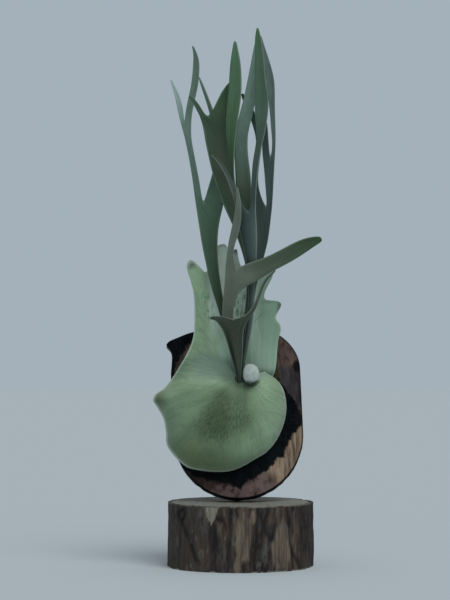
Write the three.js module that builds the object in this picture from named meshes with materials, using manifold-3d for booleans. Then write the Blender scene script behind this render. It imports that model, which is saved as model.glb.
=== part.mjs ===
// A staghorn fern mounted on a slab board, which stands on a sawn length of log.
// Millimetres, +Z up, the front looks towards -Y, and +X is to the right as seen from the front.
// The origin is the middle of the log's flat underside.
//
// The plant grows from one knob of rhizome, set in a ball of moss on the board's face. Round the knob
// lie the flat shield fronds, which hold the moss, and out of its top rise the forked antler fronds.

import * as THREE from "three";
import { mergeVertices } from "three/addons/utils/BufferGeometryUtils.js";
import Module from "manifold-3d";

const wasm = await Module();
wasm.setup();

// Driving dimensions

const GAP = 0.3;
const LOG = { halfWidth: 88, halfDepth: 80, height: 77 };
const BOARD = { halfWidth: 78, straight: 77, topRise: 58, thickness: 22, bevel: 1.5 };
const LEAN = THREE.MathUtils.degToRad(9);
const TURN = THREE.MathUtils.degToRad(2.5);
const BOARD_FOOT = { x: -2, y: 10 };
const CROWN = { x: 0, z: 227 };
const KNOB = { centre: [2, -20, 226], half: [13, 14, 9] };
const BUD = { centre: [13, -38.5, 231.8], half: [9.5, 8, 11.4], taper: 0.12 };
const SHIELD_THICKNESS = 1.6;
const FROND_THICKNESS = 1.3;

// How a shield frond that stands up free lies: where it is at the crown's height, how much it leans
// forward for each millimetre of height, and how it bends back round an upright line at the given x.
const RIGHT_SHIELD = { atCrown: -10, lean: 0.11, bend: 0.002, x: 10 };
const UPRIGHT_SHIELD = { atCrown: -15, lean: 0.12, bend: 0.002, x: -15 };

// The dish that lies over the moss: how far it bulges, its profile's two powers, how far its rim stays
// off what is behind it, the dimple at the crown, and the lobe that points forward at its left.
const DISH = { bulge: 50, fullness: 2.5, roundness: 0.6, offBoard: 2.5, offShield: 1 };
const DIMPLE = { depth: 16, reach: 0.3 };
const POINTED_LOBE = { x: -103, z: 199, forward: 17, reach: 22 };
const RIM_OVER_RIGHT_SHIELD = { fromZ: 193, toZ: 222, fromX: 5, toX: 28 };
const DISH_TO_UPRIGHT = { fromZ: 212, toZ: 252 };

// The board leans back from the front, and turns a little to the left at its top. It stands on the
// rear edge of its round foot, so its centre lies above the log by the foot's radius and that edge.

const halfBoard = BOARD.thickness / 2;
const boardCentre = {
  x: BOARD_FOOT.x,
  y: BOARD_FOOT.y + BOARD.halfWidth * Math.sin(LEAN) - halfBoard * Math.cos(LEAN),
  z: LOG.height + GAP + BOARD.halfWidth * Math.cos(LEAN) + (halfBoard - BOARD.bevel) * Math.sin(LEAN),
};
const faceY = (z) =>
  boardCentre.y + Math.tan(LEAN) * (z - boardCentre.z) - halfBoard / Math.cos(LEAN);

const smoothstep = (low, high, value) => THREE.MathUtils.smoothstep(value, low, high);
const hump = (distance, width) => Math.exp(-((distance / width) ** 2));

// Solids

const finish = {
  bark: new THREE.MeshStandardMaterial({ color: 0x6f6155, roughness: 0.95, metalness: 0 }),
  wood: new THREE.MeshStandardMaterial({ color: 0x6b5040, roughness: 0.7, metalness: 0 }),
  moss: new THREE.MeshStandardMaterial({ color: 0x5b4a34, roughness: 1, metalness: 0 }),
  scales: new THREE.MeshStandardMaterial({ color: 0x8a7a5c, roughness: 1, metalness: 0 }),
  shield: new THREE.MeshStandardMaterial({ color: 0xa5bd9c, roughness: 0.8, metalness: 0 }),
  frond: new THREE.MeshStandardMaterial({ color: 0x647f68, roughness: 0.85, metalness: 0 }),
  felt: new THREE.MeshStandardMaterial({ color: 0xd9e0d2, roughness: 1, metalness: 0 }),
};

const part = new THREE.Group();

function addPiece(name, geometry, material, parent = part) {
  geometry.computeVertexNormals();
  const mesh = new THREE.Mesh(geometry, material.clone());
  mesh.name = name;
  parent.add(mesh);
  return mesh;
}

function welded(geometry) {
  geometry.deleteAttribute("normal");
  geometry.deleteAttribute("uv");
  return mergeVertices(geometry, 1e-4);
}

function solidOf(geometry) {
  const closed = welded(geometry);
  return new wasm.Manifold(
    new wasm.Mesh({
      numProp: 3,
      vertProperties: new Float32Array(closed.attributes.position.array),
      triVerts: new Uint32Array(closed.index.array),
    }),
  );
}

// The cut leaves slivers where a blade's root ends inside the knob, so only its largest body is kept.
function cutBy(geometry, tool) {
  const bodies = solidOf(geometry).subtract(tool).decompose();
  const largest = bodies.reduce((a, b) => (b.volume() > a.volume() ? b : a));
  const mesh = largest.getMesh();
  const cut = new THREE.BufferGeometry();
  cut.setAttribute("position", new THREE.BufferAttribute(new Float32Array(mesh.vertProperties), 3));
  cut.setIndex(new THREE.BufferAttribute(new Uint32Array(mesh.triVerts), 1));
  return cut;
}

function moved(geometry, place) {
  const position = geometry.attributes.position;
  const point = new THREE.Vector3();
  for (let i = 0; i < position.count; i += 1) {
    point.fromBufferAttribute(position, i);
    const at = place(point);
    position.setXYZ(i, at.x, at.y, at.z);
  }
  return geometry;
}

function ellipsoid({ centre, half }, grown = 0) {
  const ball = new THREE.SphereGeometry(1, 22, 13);
  ball.scale(half[0] + grown, half[1] + grown, half[2] + grown);
  ball.translate(...centre);
  return ball;
}

// Sheets. A sheet is a list of points and a list of four-cornered faces that look to the front.

// One round of smoothing: each face becomes four, the edges turn into even curves, and a corner of the
// outline is drawn in towards its two neighbours on the outline.
function smoothed({ points, quads }) {
  const edges = new Map();
  const around = points.map(() => ({ faces: [], edges: [] }));
  const centres = quads.map((quad) =>
    quad.reduce((sum, i) => sum.add(points[i]), new THREE.Vector3()).divideScalar(4),
  );
  quads.forEach((quad, face) => {
    quad.forEach((a, corner) => {
      const b = quad[(corner + 1) % 4];
      const key = a < b ? `${a} ${b}` : `${b} ${a}`;
      if (!edges.has(key)) {
        const middle = points[a].clone().add(points[b]).divideScalar(2);
        edges.set(key, { a, b, middle, faces: [] });
        around[a].edges.push(edges.get(key));
        around[b].edges.push(edges.get(key));
      }
      edges.get(key).faces.push(face);
      around[a].faces.push(face);
    });
  });

  const next = points.map((point, i) => {
    const rim = around[i].edges.filter((edge) => edge.faces.length === 1);
    const evened = new THREE.Vector3();
    if (rim.length === 2) {
      rim.forEach((edge) => evened.addScaledVector(edge.middle, 0.25));
      return evened.addScaledVector(point, 0.5);
    }
    const count = around[i].edges.length;
    around[i].faces.forEach((face) => evened.addScaledVector(centres[face], 1 / count));
    around[i].edges.forEach((edge) => evened.addScaledVector(edge.middle, 2 / count));
    return evened.addScaledVector(point, count - 3).divideScalar(count);
  });
  const firstCentre = next.length;
  next.push(...centres);
  edges.forEach((edge) => {
    edge.index = next.length;
    const at = edge.middle.clone();
    if (edge.faces.length === 2) {
      const [c, d] = edge.faces.map((face) => centres[face]);
      at.add(c.clone().add(d).divideScalar(2)).divideScalar(2);
    }
    next.push(at);
  });
  const indexOf = (a, b) => edges.get(a < b ? `${a} ${b}` : `${b} ${a}`).index;
  const finer = quads.flatMap((quad, face) =>
    quad.map((a, corner) => {
      const after = indexOf(a, quad[(corner + 1) % 4]);
      const before = indexOf(quad[(corner + 3) % 4], a);
      return [a, after, firstCentre + face, before];
    }),
  );
  return { points: next, quads: finer };
}

// Gives a sheet its thickness. Both faces are split along the same diagonals, so they never meet.
function thickened({ points, quads }, thickness) {
  const normals = points.map(() => new THREE.Vector3());
  const rim = new Map();
  const across = new THREE.Vector3();
  const along = new THREE.Vector3();
  quads.forEach((quad) => {
    const [a, b, c, d] = quad;
    across.subVectors(points[c], points[a]);
    along.subVectors(points[d], points[b]);
    across.cross(along);
    quad.forEach((i, corner) => {
      normals[i].add(across);
      const j = quad[(corner + 1) % 4];
      if (!rim.delete(`${j} ${i}`)) {
        rim.set(`${i} ${j}`, [i, j]);
      }
    });
  });

  const front = points.map((point, i) =>
    point.clone().addScaledVector(normals[i].normalize(), thickness / 2),
  );
  const back = points.map((point, i) => point.clone().addScaledVector(normals[i], -thickness / 2));
  const count = points.length;
  const index = [];
  quads.forEach(([a, b, c, d]) => {
    index.push(a, b, c, a, c, d);
    index.push(count + a, count + c, count + b, count + a, count + d, count + c);
  });
  rim.forEach(([a, b]) => {
    index.push(b, a, count + a, b, count + a, count + b);
  });
  const sheet = new THREE.BufferGeometry().setFromPoints([...front, ...back]);
  sheet.setIndex(index);
  return sheet;
}

// A sheet of spokes that fan out from the crown to points on an outline, sunk or raised by depth.
function fan(outline, spokes, rings, depth) {
  const edge = new THREE.CatmullRomCurve3(outline.map(([x, z]) => new THREE.Vector3(x, 0, z)));
  const points = [];
  const quads = [];
  for (let k = 0; k <= spokes; k += 1) {
    const tip = edge.getPoint(k / spokes);
    rings.forEach((ring) => {
      const x = THREE.MathUtils.lerp(CROWN.x, tip.x, ring);
      const z = THREE.MathUtils.lerp(CROWN.z, tip.z, ring);
      points.push(new THREE.Vector3(x, depth(x, z, ring), z));
    });
  }
  for (let k = 0; k < spokes; k += 1) {
    for (let j = 1; j < rings.length; j += 1) {
      const inner = k * rings.length + j - 1;
      quads.push([inner, inner + rings.length, inner + rings.length + 1, inner + 1]);
    }
  }
  return { points, quads };
}

// A sheet of rungs, for every blade that grows as a forked strip. A rung is the blade's left edge and
// right edge at one place, x y z each. The last rung before a fork has the notch between them.
// A cupped blade is a channel, open to the front, as deep as the cup's share of its width.
function strip(blade) {
  const points = [];
  const quads = [];
  const columnsOf = (piece) =>
    piece.prongs ? columnsOf(piece.prongs[0]) + columnsOf(piece.prongs[1]) : piece.columns;
  const corner = (rung, i) => new THREE.Vector3(...rung.slice(3 * i, 3 * i + 3));
  const middle = (rung) => corner(rung, 0).add(corner(rung, rung.length / 3 - 1)).divideScalar(2);

  function rowOf(rung, columns, split, growth) {
    const left = corner(rung, 0);
    const right = corner(rung, rung.length / 3 - 1);
    const inwards = growth.clone().cross(right.clone().sub(left)).normalize();
    const depth = blade.cup * left.distanceTo(right);
    const forked = rung.length === 9;
    const row = [];
    for (let c = 0; c <= columns; c += 1) {
      const share = c / columns;
      row.push(points.length);
      if (!forked) {
        const cupped = depth * 4 * share * (1 - share);
        points.push(left.clone().lerp(right, share).addScaledVector(inwards, cupped));
      } else if (c <= split) {
        points.push(left.clone().lerp(corner(rung, 1), c / split));
      } else {
        points.push(corner(rung, 1).lerp(right, (c - split) / (columns - split)));
      }
    }
    return row;
  }

  function grow(piece, row, from) {
    const columns = columnsOf(piece);
    const split = piece.prongs ? columnsOf(piece.prongs[0]) : 0;
    piece.rungs.forEach((rung, i) => {
      const before = i > 0 ? middle(piece.rungs[i - 1]) : from ?? middle(rung);
      const after = middle(piece.rungs[i + 1] ?? rung);
      const next = rowOf(rung, columns, split, after.sub(before));
      for (let c = 0; row && c < columns; c += 1) {
        quads.push([row[c], row[c + 1], next[c + 1], next[c]]);
      }
      row = next;
    });
    if (piece.prongs) {
      const last = middle(piece.rungs.at(-1));
      grow(piece.prongs[0], row.slice(0, split + 1), last);
      grow(piece.prongs[1], row.slice(split), last);
    }
  }

  grow(blade);
  return { points, quads };
}

// Log stand: a sawn length of round wood with its bark on, a little out of round, with a few long
// fissures that run down the bark. Both ends are sawn flat.

const LOG_SIDES = 80;
const LOG_ROWS = 3;
const FISSURE_HALF_ANGLE = 0.05;
const outOfRound = (angle, height) =>
  0.008 * Math.sin(3 * angle + 0.8) + 0.006 * Math.sin(7 * angle + 2 * height);
const butt = (height) => 0.006 * (0.5 - height);
const barkFissures = [
  { turn: -2.55, depth: 0.03, slant: 0.1 },
  { turn: -2.0, depth: 0.022, slant: -0.06 },
  { turn: -1.35, depth: 0.028, slant: 0.08 },
  { turn: -0.8, depth: 0.024, slant: -0.1 },
  { turn: 0.4, depth: 0.026, slant: 0.05 },
  { turn: 1.6, depth: 0.03, slant: -0.08 },
  { turn: 2.6, depth: 0.022, slant: 0.06 },
];

function logStand() {
  const log = new THREE.CylinderGeometry(1, 1, LOG.height, LOG_SIDES, LOG_ROWS);
  log.rotateX(Math.PI / 2);
  log.translate(0, 0, LOG.height / 2);
  return moved(log, ({ x, y, z }) => {
    const angle = Math.atan2(y, x);
    const height = z / LOG.height;
    let reach = 1 + outOfRound(angle, height) + butt(height);
    barkFissures.forEach(({ turn, depth, slant }) => {
      const off = angle - turn - slant * (height - 0.5);
      reach -= depth * hump(off, FISSURE_HALF_ANGLE) * (0.6 + 0.4 * height);
    });
    return new THREE.Vector3(x * reach * LOG.halfWidth, y * reach * LOG.halfDepth, z);
  });
}

addPiece("log_stand", logStand(), finish.bark);

// Mounting board: a slab with a round foot and a rounder top. Its rim still has the dark bark on it,
// which flares out where a branch left the upper left shoulder.

const ARC_STEPS = 9;
const FLARE_STARTS_X = -30;
const branchFlare = [
  [-41, 128],
  [-54, 125.5],
  [-67, 121],
  [-79, 116],
  [-82, 112],
  [-77.5, 105],
  [-76, 98],
  [-76.6, 88],
];

function boardOutline() {
  const outline = new THREE.Shape();
  const flareStart = Math.acos(FLARE_STARTS_X / BOARD.halfWidth);
  outline.moveTo(-BOARD.halfWidth, 0);
  outline.absarc(0, 0, BOARD.halfWidth, Math.PI, 2 * Math.PI, false);
  outline.lineTo(BOARD.halfWidth, BOARD.straight);
  outline.absellipse(0, BOARD.straight, BOARD.halfWidth, BOARD.topRise, 0, flareStart, false, 0);
  outline.splineThru(branchFlare.map(([x, y]) => new THREE.Vector2(x, y)));
  outline.lineTo(-BOARD.halfWidth, BOARD.straight);
  return outline;
}

const boardSolid = new THREE.ExtrudeGeometry(boardOutline(), {
  depth: BOARD.thickness - 2 * BOARD.bevel,
  curveSegments: ARC_STEPS,
  bevelThickness: BOARD.bevel,
  bevelSize: BOARD.bevel,
  bevelOffset: -BOARD.bevel,
  bevelSegments: 1,
});
boardSolid.translate(0, 0, BOARD.bevel - halfBoard);
const boardStand = new THREE.Group();
boardStand.rotation.x = Math.PI / 2 - LEAN;
boardStand.position.set(boardCentre.x, boardCentre.y, boardCentre.z);
part.add(boardStand);
addPiece("mounting_board", welded(boardSolid), finish.wood, boardStand).rotation.z = TURN;

// Rhizome: the short thick stem under its scales, from which every frond grows.

const knob = ellipsoid(KNOB);
const knobRoom = solidOf(ellipsoid(KNOB, GAP));
addPiece("rhizome", welded(knob), finish.scales);

// How far forward the shield fronds stand. The right one rises behind the crown. Below the crown the
// main one is a dish over the moss, with a dimple at the crown and its rim turned down to the board, or
// at its upper right to the right frond. Above the crown it stands up free, leaning forward.

const standing = (shield, x, z) =>
  shield.atCrown - shield.lean * (z - CROWN.z) - shield.bend * (x - shield.x) ** 2;
const rightShieldY = (x, z) => standing(RIGHT_SHIELD, x, z);

function dishY(x, z, ring) {
  const { fromX, toX, fromZ, toZ } = RIM_OVER_RIGHT_SHIELD;
  const overRight = smoothstep(fromZ, toZ, z) * smoothstep(fromX, toX, x);
  const behind = THREE.MathUtils.lerp(faceY(z), rightShieldY(x, z) - DISH.offShield, overRight);
  const top = faceY(z) - DISH.offBoard - DISH.bulge;
  const risen = (1 - ring ** DISH.fullness) ** DISH.roundness;
  const dish = THREE.MathUtils.lerp(behind - DISH.offBoard, top, risen);
  const dimple = DIMPLE.depth * hump(ring, DIMPLE.reach);
  const fromLobe = Math.hypot(x - POINTED_LOBE.x, z - POINTED_LOBE.z);
  return dish + dimple - POINTED_LOBE.forward * hump(fromLobe, POINTED_LOBE.reach);
}

function mainShieldY(x, z, ring) {
  const upright = smoothstep(DISH_TO_UPRIGHT.fromZ, DISH_TO_UPRIGHT.toZ, z);
  return THREE.MathUtils.lerp(dishY(x, z, ring), standing(UPRIGHT_SHIELD, x, z), upright);
}

// Main shield frond: one big kidney-shaped frond, from its middle lobe round by the left to the right.

const mainOutline = [
  [-4, 259], [-7, 295], [-11, 345], [-12, 372], [-18, 385], [-27, 383], [-34, 369], [-41, 352],
  [-49, 359], [-59, 366], [-63, 359], [-59, 343], [-55, 325], [-55, 281], [-58, 267], [-64, 254],
  [-72, 239], [-80, 226], [-90, 213], [-101, 205], [-103, 199], [-99, 192], [-91, 177], [-88, 160],
  [-87, 146], [-80, 135], [-64, 120], [-50, 116], [-29, 114], [-12, 115], [2, 120], [16, 128],
  [31, 137], [43, 151], [51, 168], [55, 187], [54, 201], [50, 214], [42, 224], [29, 233],
];
const mainSpokes = 2 * (mainOutline.length - 1);
const mainRings = [0.07, 0.2, 0.38, 0.58, 0.76, 0.9, 0.97, 1];
const mainSheet = fan(mainOutline, mainSpokes, mainRings, mainShieldY);
const mainShield = thickened(mainSheet, SHIELD_THICKNESS);
addPiece("shield_frond_main", cutBy(mainShield, knobRoom), finish.shield);

// Right shield frond: an older one that rises behind the main one, with a lobed right edge. Its rungs
// slope up to the right, so that they follow the lobes without crossing.

const rightEdges = [
  [[3, 222], [24, 221]],
  [[1, 227], [40, 224]],
  [[0, 231], [43, 240]],
  [[-1, 238], [44, 257]],
  [[-3, 250], [45, 274]],
  [[-4, 262], [50, 284]],
  [[-6, 274], [47, 292]],
  [[-7, 281], [41, 297]],
  [[-8, 289], [45, 305]],
  [[-8, 297], [51, 314]],
  [[-9, 303], [46, 318]],
  [[-9, 309], [37, 318.5]],
  [[-10, 314], [29, 319]],
  [[-10, 320], [28, 326]],
  [[-11, 328], [34, 338]],
  [[-11, 337], [42, 352]],
  [[-11, 345], [33, 355]],
  [[-11, 352], [20, 356]],
  [[-11, 361], [8, 365]],
  [[-11, 370], [1, 376]],
  [[-9, 378], [-4, 381]],
];
const rightShield = strip({
  columns: 3,
  cup: 0.05,
  rungs: rightEdges.map((rung) => rung.flatMap(([x, z]) => [x, rightShieldY(x, z), z])),
});
const rightSolid = thickened(smoothed(rightShield), SHIELD_THICKNESS);
addPiece("shield_frond_right", cutBy(rightSolid, knobRoom), finish.shield);

// Root ball: moss and the brown remains of old shields, flat against the board and domed up to the
// living shields. A lathed dome is spread out to the outline, and its top is lowered from the fronds.

const ballOutline = [
  [46, 238], [36, 255], [20, 266], [0, 270], [-20, 268], [-38, 262], [-52, 252], [-64, 236],
  [-74, 219], [-82, 200], [-84, 180], [-83, 160], [-78, 142], [-64, 126], [-48, 120], [-29, 118],
  [-12, 119], [2, 124], [15, 132], [28, 141], [39, 154], [46, 170], [50, 187], [50, 205],
];
const BALL = { under: 3.6, least: 2, steps: 40, rimShare: 0.985 };
const BALL_UNDER_RIGHT_SHIELD = { fromZ: 205, toZ: 219, fromX: -22, toX: -10 };
const domeProfile = [
  [0, 1], [0.28, 1], [0.5, 1], [0.68, 1], [0.82, 1], [0.92, 1], [0.98, 0.9], [1, 0.4], [1, 0], [0, 0],
];

// The surface that the moss fills up to: the main frond's, or the right one's where that is behind it.
function mossCover(x, z, ring) {
  const { fromX, toX, fromZ, toZ } = BALL_UNDER_RIGHT_SHIELD;
  const underRight = smoothstep(fromZ, toZ, z) * smoothstep(fromX, toX, x);
  const main = mainShieldY(x, z, ring * BALL.rimShare);
  return THREE.MathUtils.lerp(main, Math.max(main, rightShieldY(x, z)), underRight);
}

function rootBall() {
  const outline = new THREE.CatmullRomCurve3(
    ballOutline.map(([x, z]) => new THREE.Vector3(x, 0, z)),
    true,
  );
  const profile = domeProfile.map(([reach, height]) => new THREE.Vector2(reach, height));
  return moved(new THREE.LatheGeometry(profile, BALL.steps), (point) => {
    const reach = Math.hypot(point.x, point.z);
    const around = (Math.atan2(point.z, point.x) / (2 * Math.PI) + 1) % 1;
    const rim = outline.getPoint(around);
    const x = THREE.MathUtils.lerp(CROWN.x, rim.x, reach);
    const z = THREE.MathUtils.lerp(CROWN.z, rim.z, reach);
    const back = faceY(z) - GAP;
    const front = Math.min(mossCover(x, z, reach) + BALL.under, back - BALL.least);
    return new THREE.Vector3(x, THREE.MathUtils.lerp(back, front, point.y), z);
  });
}

addPiece("root_ball", cutBy(rootBall(), knobRoom), finish.moss);

// Young shield frond: a round white felted button, just opening to the right of the crown.

const BUD_FOLD = { x: -0.55, width: 0.25, depth: 0.1 };

function youngShield() {
  const [cx, cy, cz] = BUD.centre;
  const [hx, hy, hz] = BUD.half;
  return moved(new THREE.SphereGeometry(1, 20, 12), ({ x, y, z }) => {
    const fold = BUD_FOLD.depth * hump(x - BUD_FOLD.x, BUD_FOLD.width) * Math.max(0, -y);
    const height = hz * z * (1 - BUD.taper * x);
    return new THREE.Vector3(cx + hx * x, cy + hy * (y + fold), cz + height);
  });
}

addPiece("young_shield", cutBy(youngShield(), knobRoom), finish.felt);

// Antler fronds: leathery forked blades. Each starts inside the knob's room, where it is cut off.

const leftFrond = {
  cup: 0.1,
  rungs: [
    [-4, -18, 222, 1, -18, 222],
    [-6, -24, 233, 0, -24, 233],
    [-11, -27, 252, -4, -27, 252],
    [-16, -30, 271, -8, -30, 271],
    [-21, -33, 289, -12, -33, 289],
    [-25, -35, 306, -17, -35, 306],
    [-31, -38, 323, -21, -38, 323],
    [-37, -41, 344, -24, -41, 344],
    [-40, -43, 360, -26, -43, 360],
    [-44, -45, 378, -27, -45, 378],
    [-47, -47, 396.5, -27, -48, 396.5],
    [-50, -49, 416.5, -24, -51, 416.5],
    [-53, -51, 434.5, -44, -51, 427.5, -19, -54, 432.5],
  ],
  prongs: [
    {
      rungs: [
        [-55, -53, 452.5, -47, -53, 451.5],
        [-58, -55, 473.5, -51, -55, 472.5],
        [-62, -57, 495, -55, -57, 493],
        [-65, -58, 509, -58, -58, 509],
        [-68.5, -59, 522, -66, -59, 526, -58, -59, 524],
      ],
      prongs: [
        {
          columns: 1,
          rungs: [
            [-71.5, -61, 533, -66.5, -61, 539],
            [-74.5, -63, 547.5, -69.5, -63, 553.5],
            [-77.5, -65, 562.5, -74.5, -65, 565.5],
            [-82.5, -67, 576.5, -80.5, -67, 577.5],
          ],
        },
        {
          columns: 1,
          rungs: [
            [-64.5, -61, 539, -57, -61, 539],
            [-62, -62, 552.5, -54, -62, 552.5],
            [-58, -63, 568.5, -50, -63, 568.5],
            [-56, -64, 585.5, -48, -64, 585.5],
            [-55, -65, 599.5, -48, -65, 599.5],
            [-55, -66, 609.5, -51, -66, 608.5],
            [-57, -67, 617, -55, -67, 617],
          ],
        },
      ],
    },
    {
      columns: 1,
      rungs: [
        [-38, -55, 451.5, -19, -57, 450.5],
        [-33, -57, 465.5, -18, -59, 464],
        [-30, -59, 483, -18, -61, 480],
        [-30, -61, 499, -21, -63, 497],
        [-32, -62, 515, -24, -65, 514],
        [-35, -64, 535, -30, -67, 536.5],
        [-40, -66, 552.5, -37, -69, 554.5],
        [-45, -68, 567.5, -43, -71, 569.5],
        [-49, -70, 579.5, -48, -71, 580.5],
      ],
    },
  ],
};

const crownFrond = {
  cup: 0.12,
  rungs: [
    [-2, -20, 222, 3, -20, 222],
    [-1, -27, 236, 4, -27, 236],
    [1, -30, 255, 7, -30, 255],
    [2, -33, 272, 10, -33, 272],
    [4, -36, 289, 13, -36, 289],
    [6, -39, 308, 15, -39, 308],
    [8, -43, 331, 17, -43, 331],
    [8, -47, 352, 18, -47, 352],
    [4, -51, 371, 18, -51, 371],
    [-2, -55, 388.5, 18, -55, 388.5],
    [-10, -60, 410.5, 16, -60, 410.5],
    [-19, -64, 427.5, 14, -64, 428.5],
    [-25, -68, 446, -5, -68, 448, 13, -68, 448],
  ],
  prongs: [
    {
      rungs: [
        [-30, -72, 459, -7, -72, 461],
        [-34, -76, 472, -10, -76, 468, -8, -86, 470],
      ],
      prongs: [
        {
          rungs: [
            [-38, -80, 491, -9, -79, 487],
            [-41, -83, 504.5, -11, -82, 503.5],
            [-43, -86, 519.5, -12, -85, 518.5],
            [-47, -89, 532.5, -38, -89, 529.5, -11, -88, 530.5],
          ],
          prongs: [
            {
              columns: 1,
              rungs: [
                [-50.5, -91, 539, -45, -91, 541],
                [-54.5, -93, 547, -50.5, -93, 550],
                [-60.5, -95, 554, -58.5, -95, 557],
              ],
            },
            {
              columns: 1,
              rungs: [
                [-31, -91, 542, -10, -90, 544],
                [-25, -93, 555, -9, -92, 557],
                [-19, -95, 565, -8, -94, 566],
                [-13, -96, 572, -9, -95, 572],
              ],
            },
          ],
        },
        {
          columns: 1,
          rungs: [
            [-12, -86, 483.5, -8, -94, 482.5],
            [-15, -91, 499.5, -7, -97, 498.5],
            [-17, -95, 517.5, -5, -101, 516],
            [-16, -99, 537, -2, -104, 537],
            [-14, -102, 558, 1, -107, 557.5],
            [-13, -105, 577.5, 1, -109, 576.5],
            [-12, -108, 594.5, 0, -111, 593.5],
            [-10, -110, 606, -3, -112, 608],
            [-8, -112, 618, -5, -112, 618],
          ],
        },
      ],
    },
    {
      columns: 1,
      rungs: [
        [-6, -71, 469, 12, -71, 467],
        [-7, -74, 488, 9, -74, 485],
        [-7, -77, 504.5, 8, -77, 503],
        [-5, -79, 518.5, 9, -79, 516.5],
        [-1, -82, 536.5, 14, -82, 534.5],
        [4, -85, 553, 17.5, -84, 550.5],
        [8, -87, 573, 19.5, -86, 571],
        [12, -89, 593, 21.5, -88, 591],
        [14.5, -91, 606.5, 20.5, -90, 605.5],
        [16.5, -92, 617.5, 19.5, -91, 617.5],
      ],
    },
  ],
};

const rightFrond = {
  cup: 0.12,
  rungs: [
    [-1, -27, 222, 4, -27, 222],
    [0, -33, 237, 5, -33, 237],
    [2, -36, 255, 8, -36, 255],
    [4, -39, 272, 11, -39, 272],
    [7, -42, 288, 14, -42, 288],
    [9, -45, 306, 16, -45, 306],
    [10, -50, 328, 17, -50, 328],
    [9, -55, 350, 18, -55, 350],
    [6, -60, 369.5, 19, -62, 369.5],
    [2, -65, 387.5, 19, -69, 387.5],
    [-2, -70, 405.5, 19, -75, 405.5],
    [-5, -82, 422.5, 10, -76, 416.5, 17.5, -82, 424],
  ],
  prongs: [
    {
      columns: 1,
      rungs: [
        [-8, -96, 439, -1, -85, 437],
        [-14, -103, 456.5, -11, -93, 461],
        [-21, -106, 470.5, -19, -98, 474.5],
        [-27, -108, 480.5, -26, -102, 483.5],
        [-35, -109, 487.5, -34, -105, 489.5],
      ],
    },
    {
      columns: 1,
      rungs: [
        [13, -80, 436, 17.5, -86, 436],
        [13, -83, 456, 18.5, -90, 455],
        [14, -85, 473, 20.5, -92, 473],
        [15.5, -87, 486.5, 22.5, -93, 486.5],
        [18.5, -89, 500.5, 24.5, -94, 499.5],
        [18.5, -91, 514.5, 28.5, -95, 513.5],
        [17.5, -93, 526.5, 30.5, -96, 526],
        [16.5, -95, 541, 32.5, -97, 541],
        [16.5, -97, 559, 32.5, -99, 557],
        [16.5, -99, 576.5, 28.5, -101, 575.5],
        [16.5, -101, 594.5, 27.5, -103, 594.5],
        [16.5, -103, 611.5, 25.5, -105, 612.5],
        [16.5, -104, 622, 23.5, -106, 623],
        [18.5, -105, 634, 20.5, -106, 634],
      ],
    },
  ],
};

const rearFrond = {
  cup: 0.1,
  rungs: [
    [0, -13, 222, 4, -13, 222],
    [1, -20, 239, 5, -20, 239],
    [3, -23, 257, 8, -23, 257],
    [6, -25, 275, 12, -25, 275],
    [8, -28, 293, 15, -28, 293],
    [10, -30, 312, 16, -30, 312],
    [11, -33, 331, 18, -33, 331],
    [15, -36, 351, 23, -36, 351],
    [19, -39, 370, 28, -39, 370],
    [20, -42, 388.5, 33, -41, 388.5],
    [19, -45, 405.5, 35, -44, 405.5],
    [17, -50, 432.5, 33, -50, 420.5, 38, -50, 431.5],
  ],
  prongs: [
    {
      columns: 1,
      rungs: [
        [15, -53, 452.5, 20, -54, 449.5],
        [15, -56, 473, 21, -58, 472],
        [19, -59, 494, 24, -62, 494],
        [19, -62, 511, 26.5, -65, 508],
        [12, -65, 532, 22, -67, 528],
        [6, -67, 545.5, 14, -68, 545.5],
        [0, -69, 560.5, 4, -69, 561.5],
      ],
    },
    {
      rungs: [
        [30, -52, 448.5, 38.5, -52, 448.5],
        [29, -54, 464.5, 39.5, -54, 464.5],
        [27, -57, 483, 35.5, -57, 482, 40.5, -57, 485],
      ],
      prongs: [
        {
          columns: 1,
          rungs: [
            [25, -59, 500, 33.5, -60, 499],
            [28, -61, 515, 32.5, -61, 516],
            [29.5, -62, 528, 31.5, -62, 528],
          ],
        },
        {
          columns: 1,
          rungs: [
            [38.5, -60, 503, 41.5, -59, 500],
            [36.5, -62, 519, 41.5, -60, 519],
            [35.5, -64, 535, 40.5, -62, 538],
            [33.5, -66, 552.5, 40.5, -64, 555.5],
            [31.5, -67, 570.5, 40.5, -66, 574.5],
            [28.5, -68, 587.5, 37.5, -67, 588.5],
            [26.5, -69, 602.5, 33.5, -68, 601.5],
            [23.5, -70, 616, 28.5, -69, 616],
            [22.5, -70, 629, 24.5, -70, 629],
          ],
        },
      ],
    },
  ],
};

const armFrond = {
  cup: 0.1,
  rungs: [
    [-4, -27, 222, 1, -27, 222],
    [-7, -38, 236, -1, -38, 236],
    [-12, -41, 257, -4, -41, 257],
    [-18, -45, 279, -7, -45, 279],
    [-22, -49, 300, -9, -49, 299],
    [-20, -54, 323, -7, -54, 318],
    [-18, -58, 341, -1, -58, 330],
    [-17.5, -62, 359, -5, -62, 354, 12, -61, 338],
  ],
  prongs: [
    {
      columns: 1,
      rungs: [
        [-15.5, -67, 372.5, -10, -69, 372.5],
        [-14, -75, 387.5, -5.5, -78, 387.5],
        [-10, -83, 403.5, 0, -86, 403.5],
        [-7, -91, 419, 1, -94, 419],
        [-5, -99, 434, 0, -102, 434],
        [-5, -106, 449, -3, -108, 449],
      ],
    },
    {
      columns: 1,
      rungs: [
        [7, -64, 362, 21, -62, 342],
        [21, -67, 365.5, 32.5, -65, 350],
        [35.5, -70, 371.5, 46.5, -68, 357],
        [52.5, -74, 380.5, 62.5, -72, 365.5],
        [67.5, -78, 388.5, 76.5, -76, 374.5],
        [80.5, -81, 392.5, 87.5, -79, 382.5],
        [93, -83, 393.5, 96, -82, 387.5],
      ],
    },
  ],
};

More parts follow.
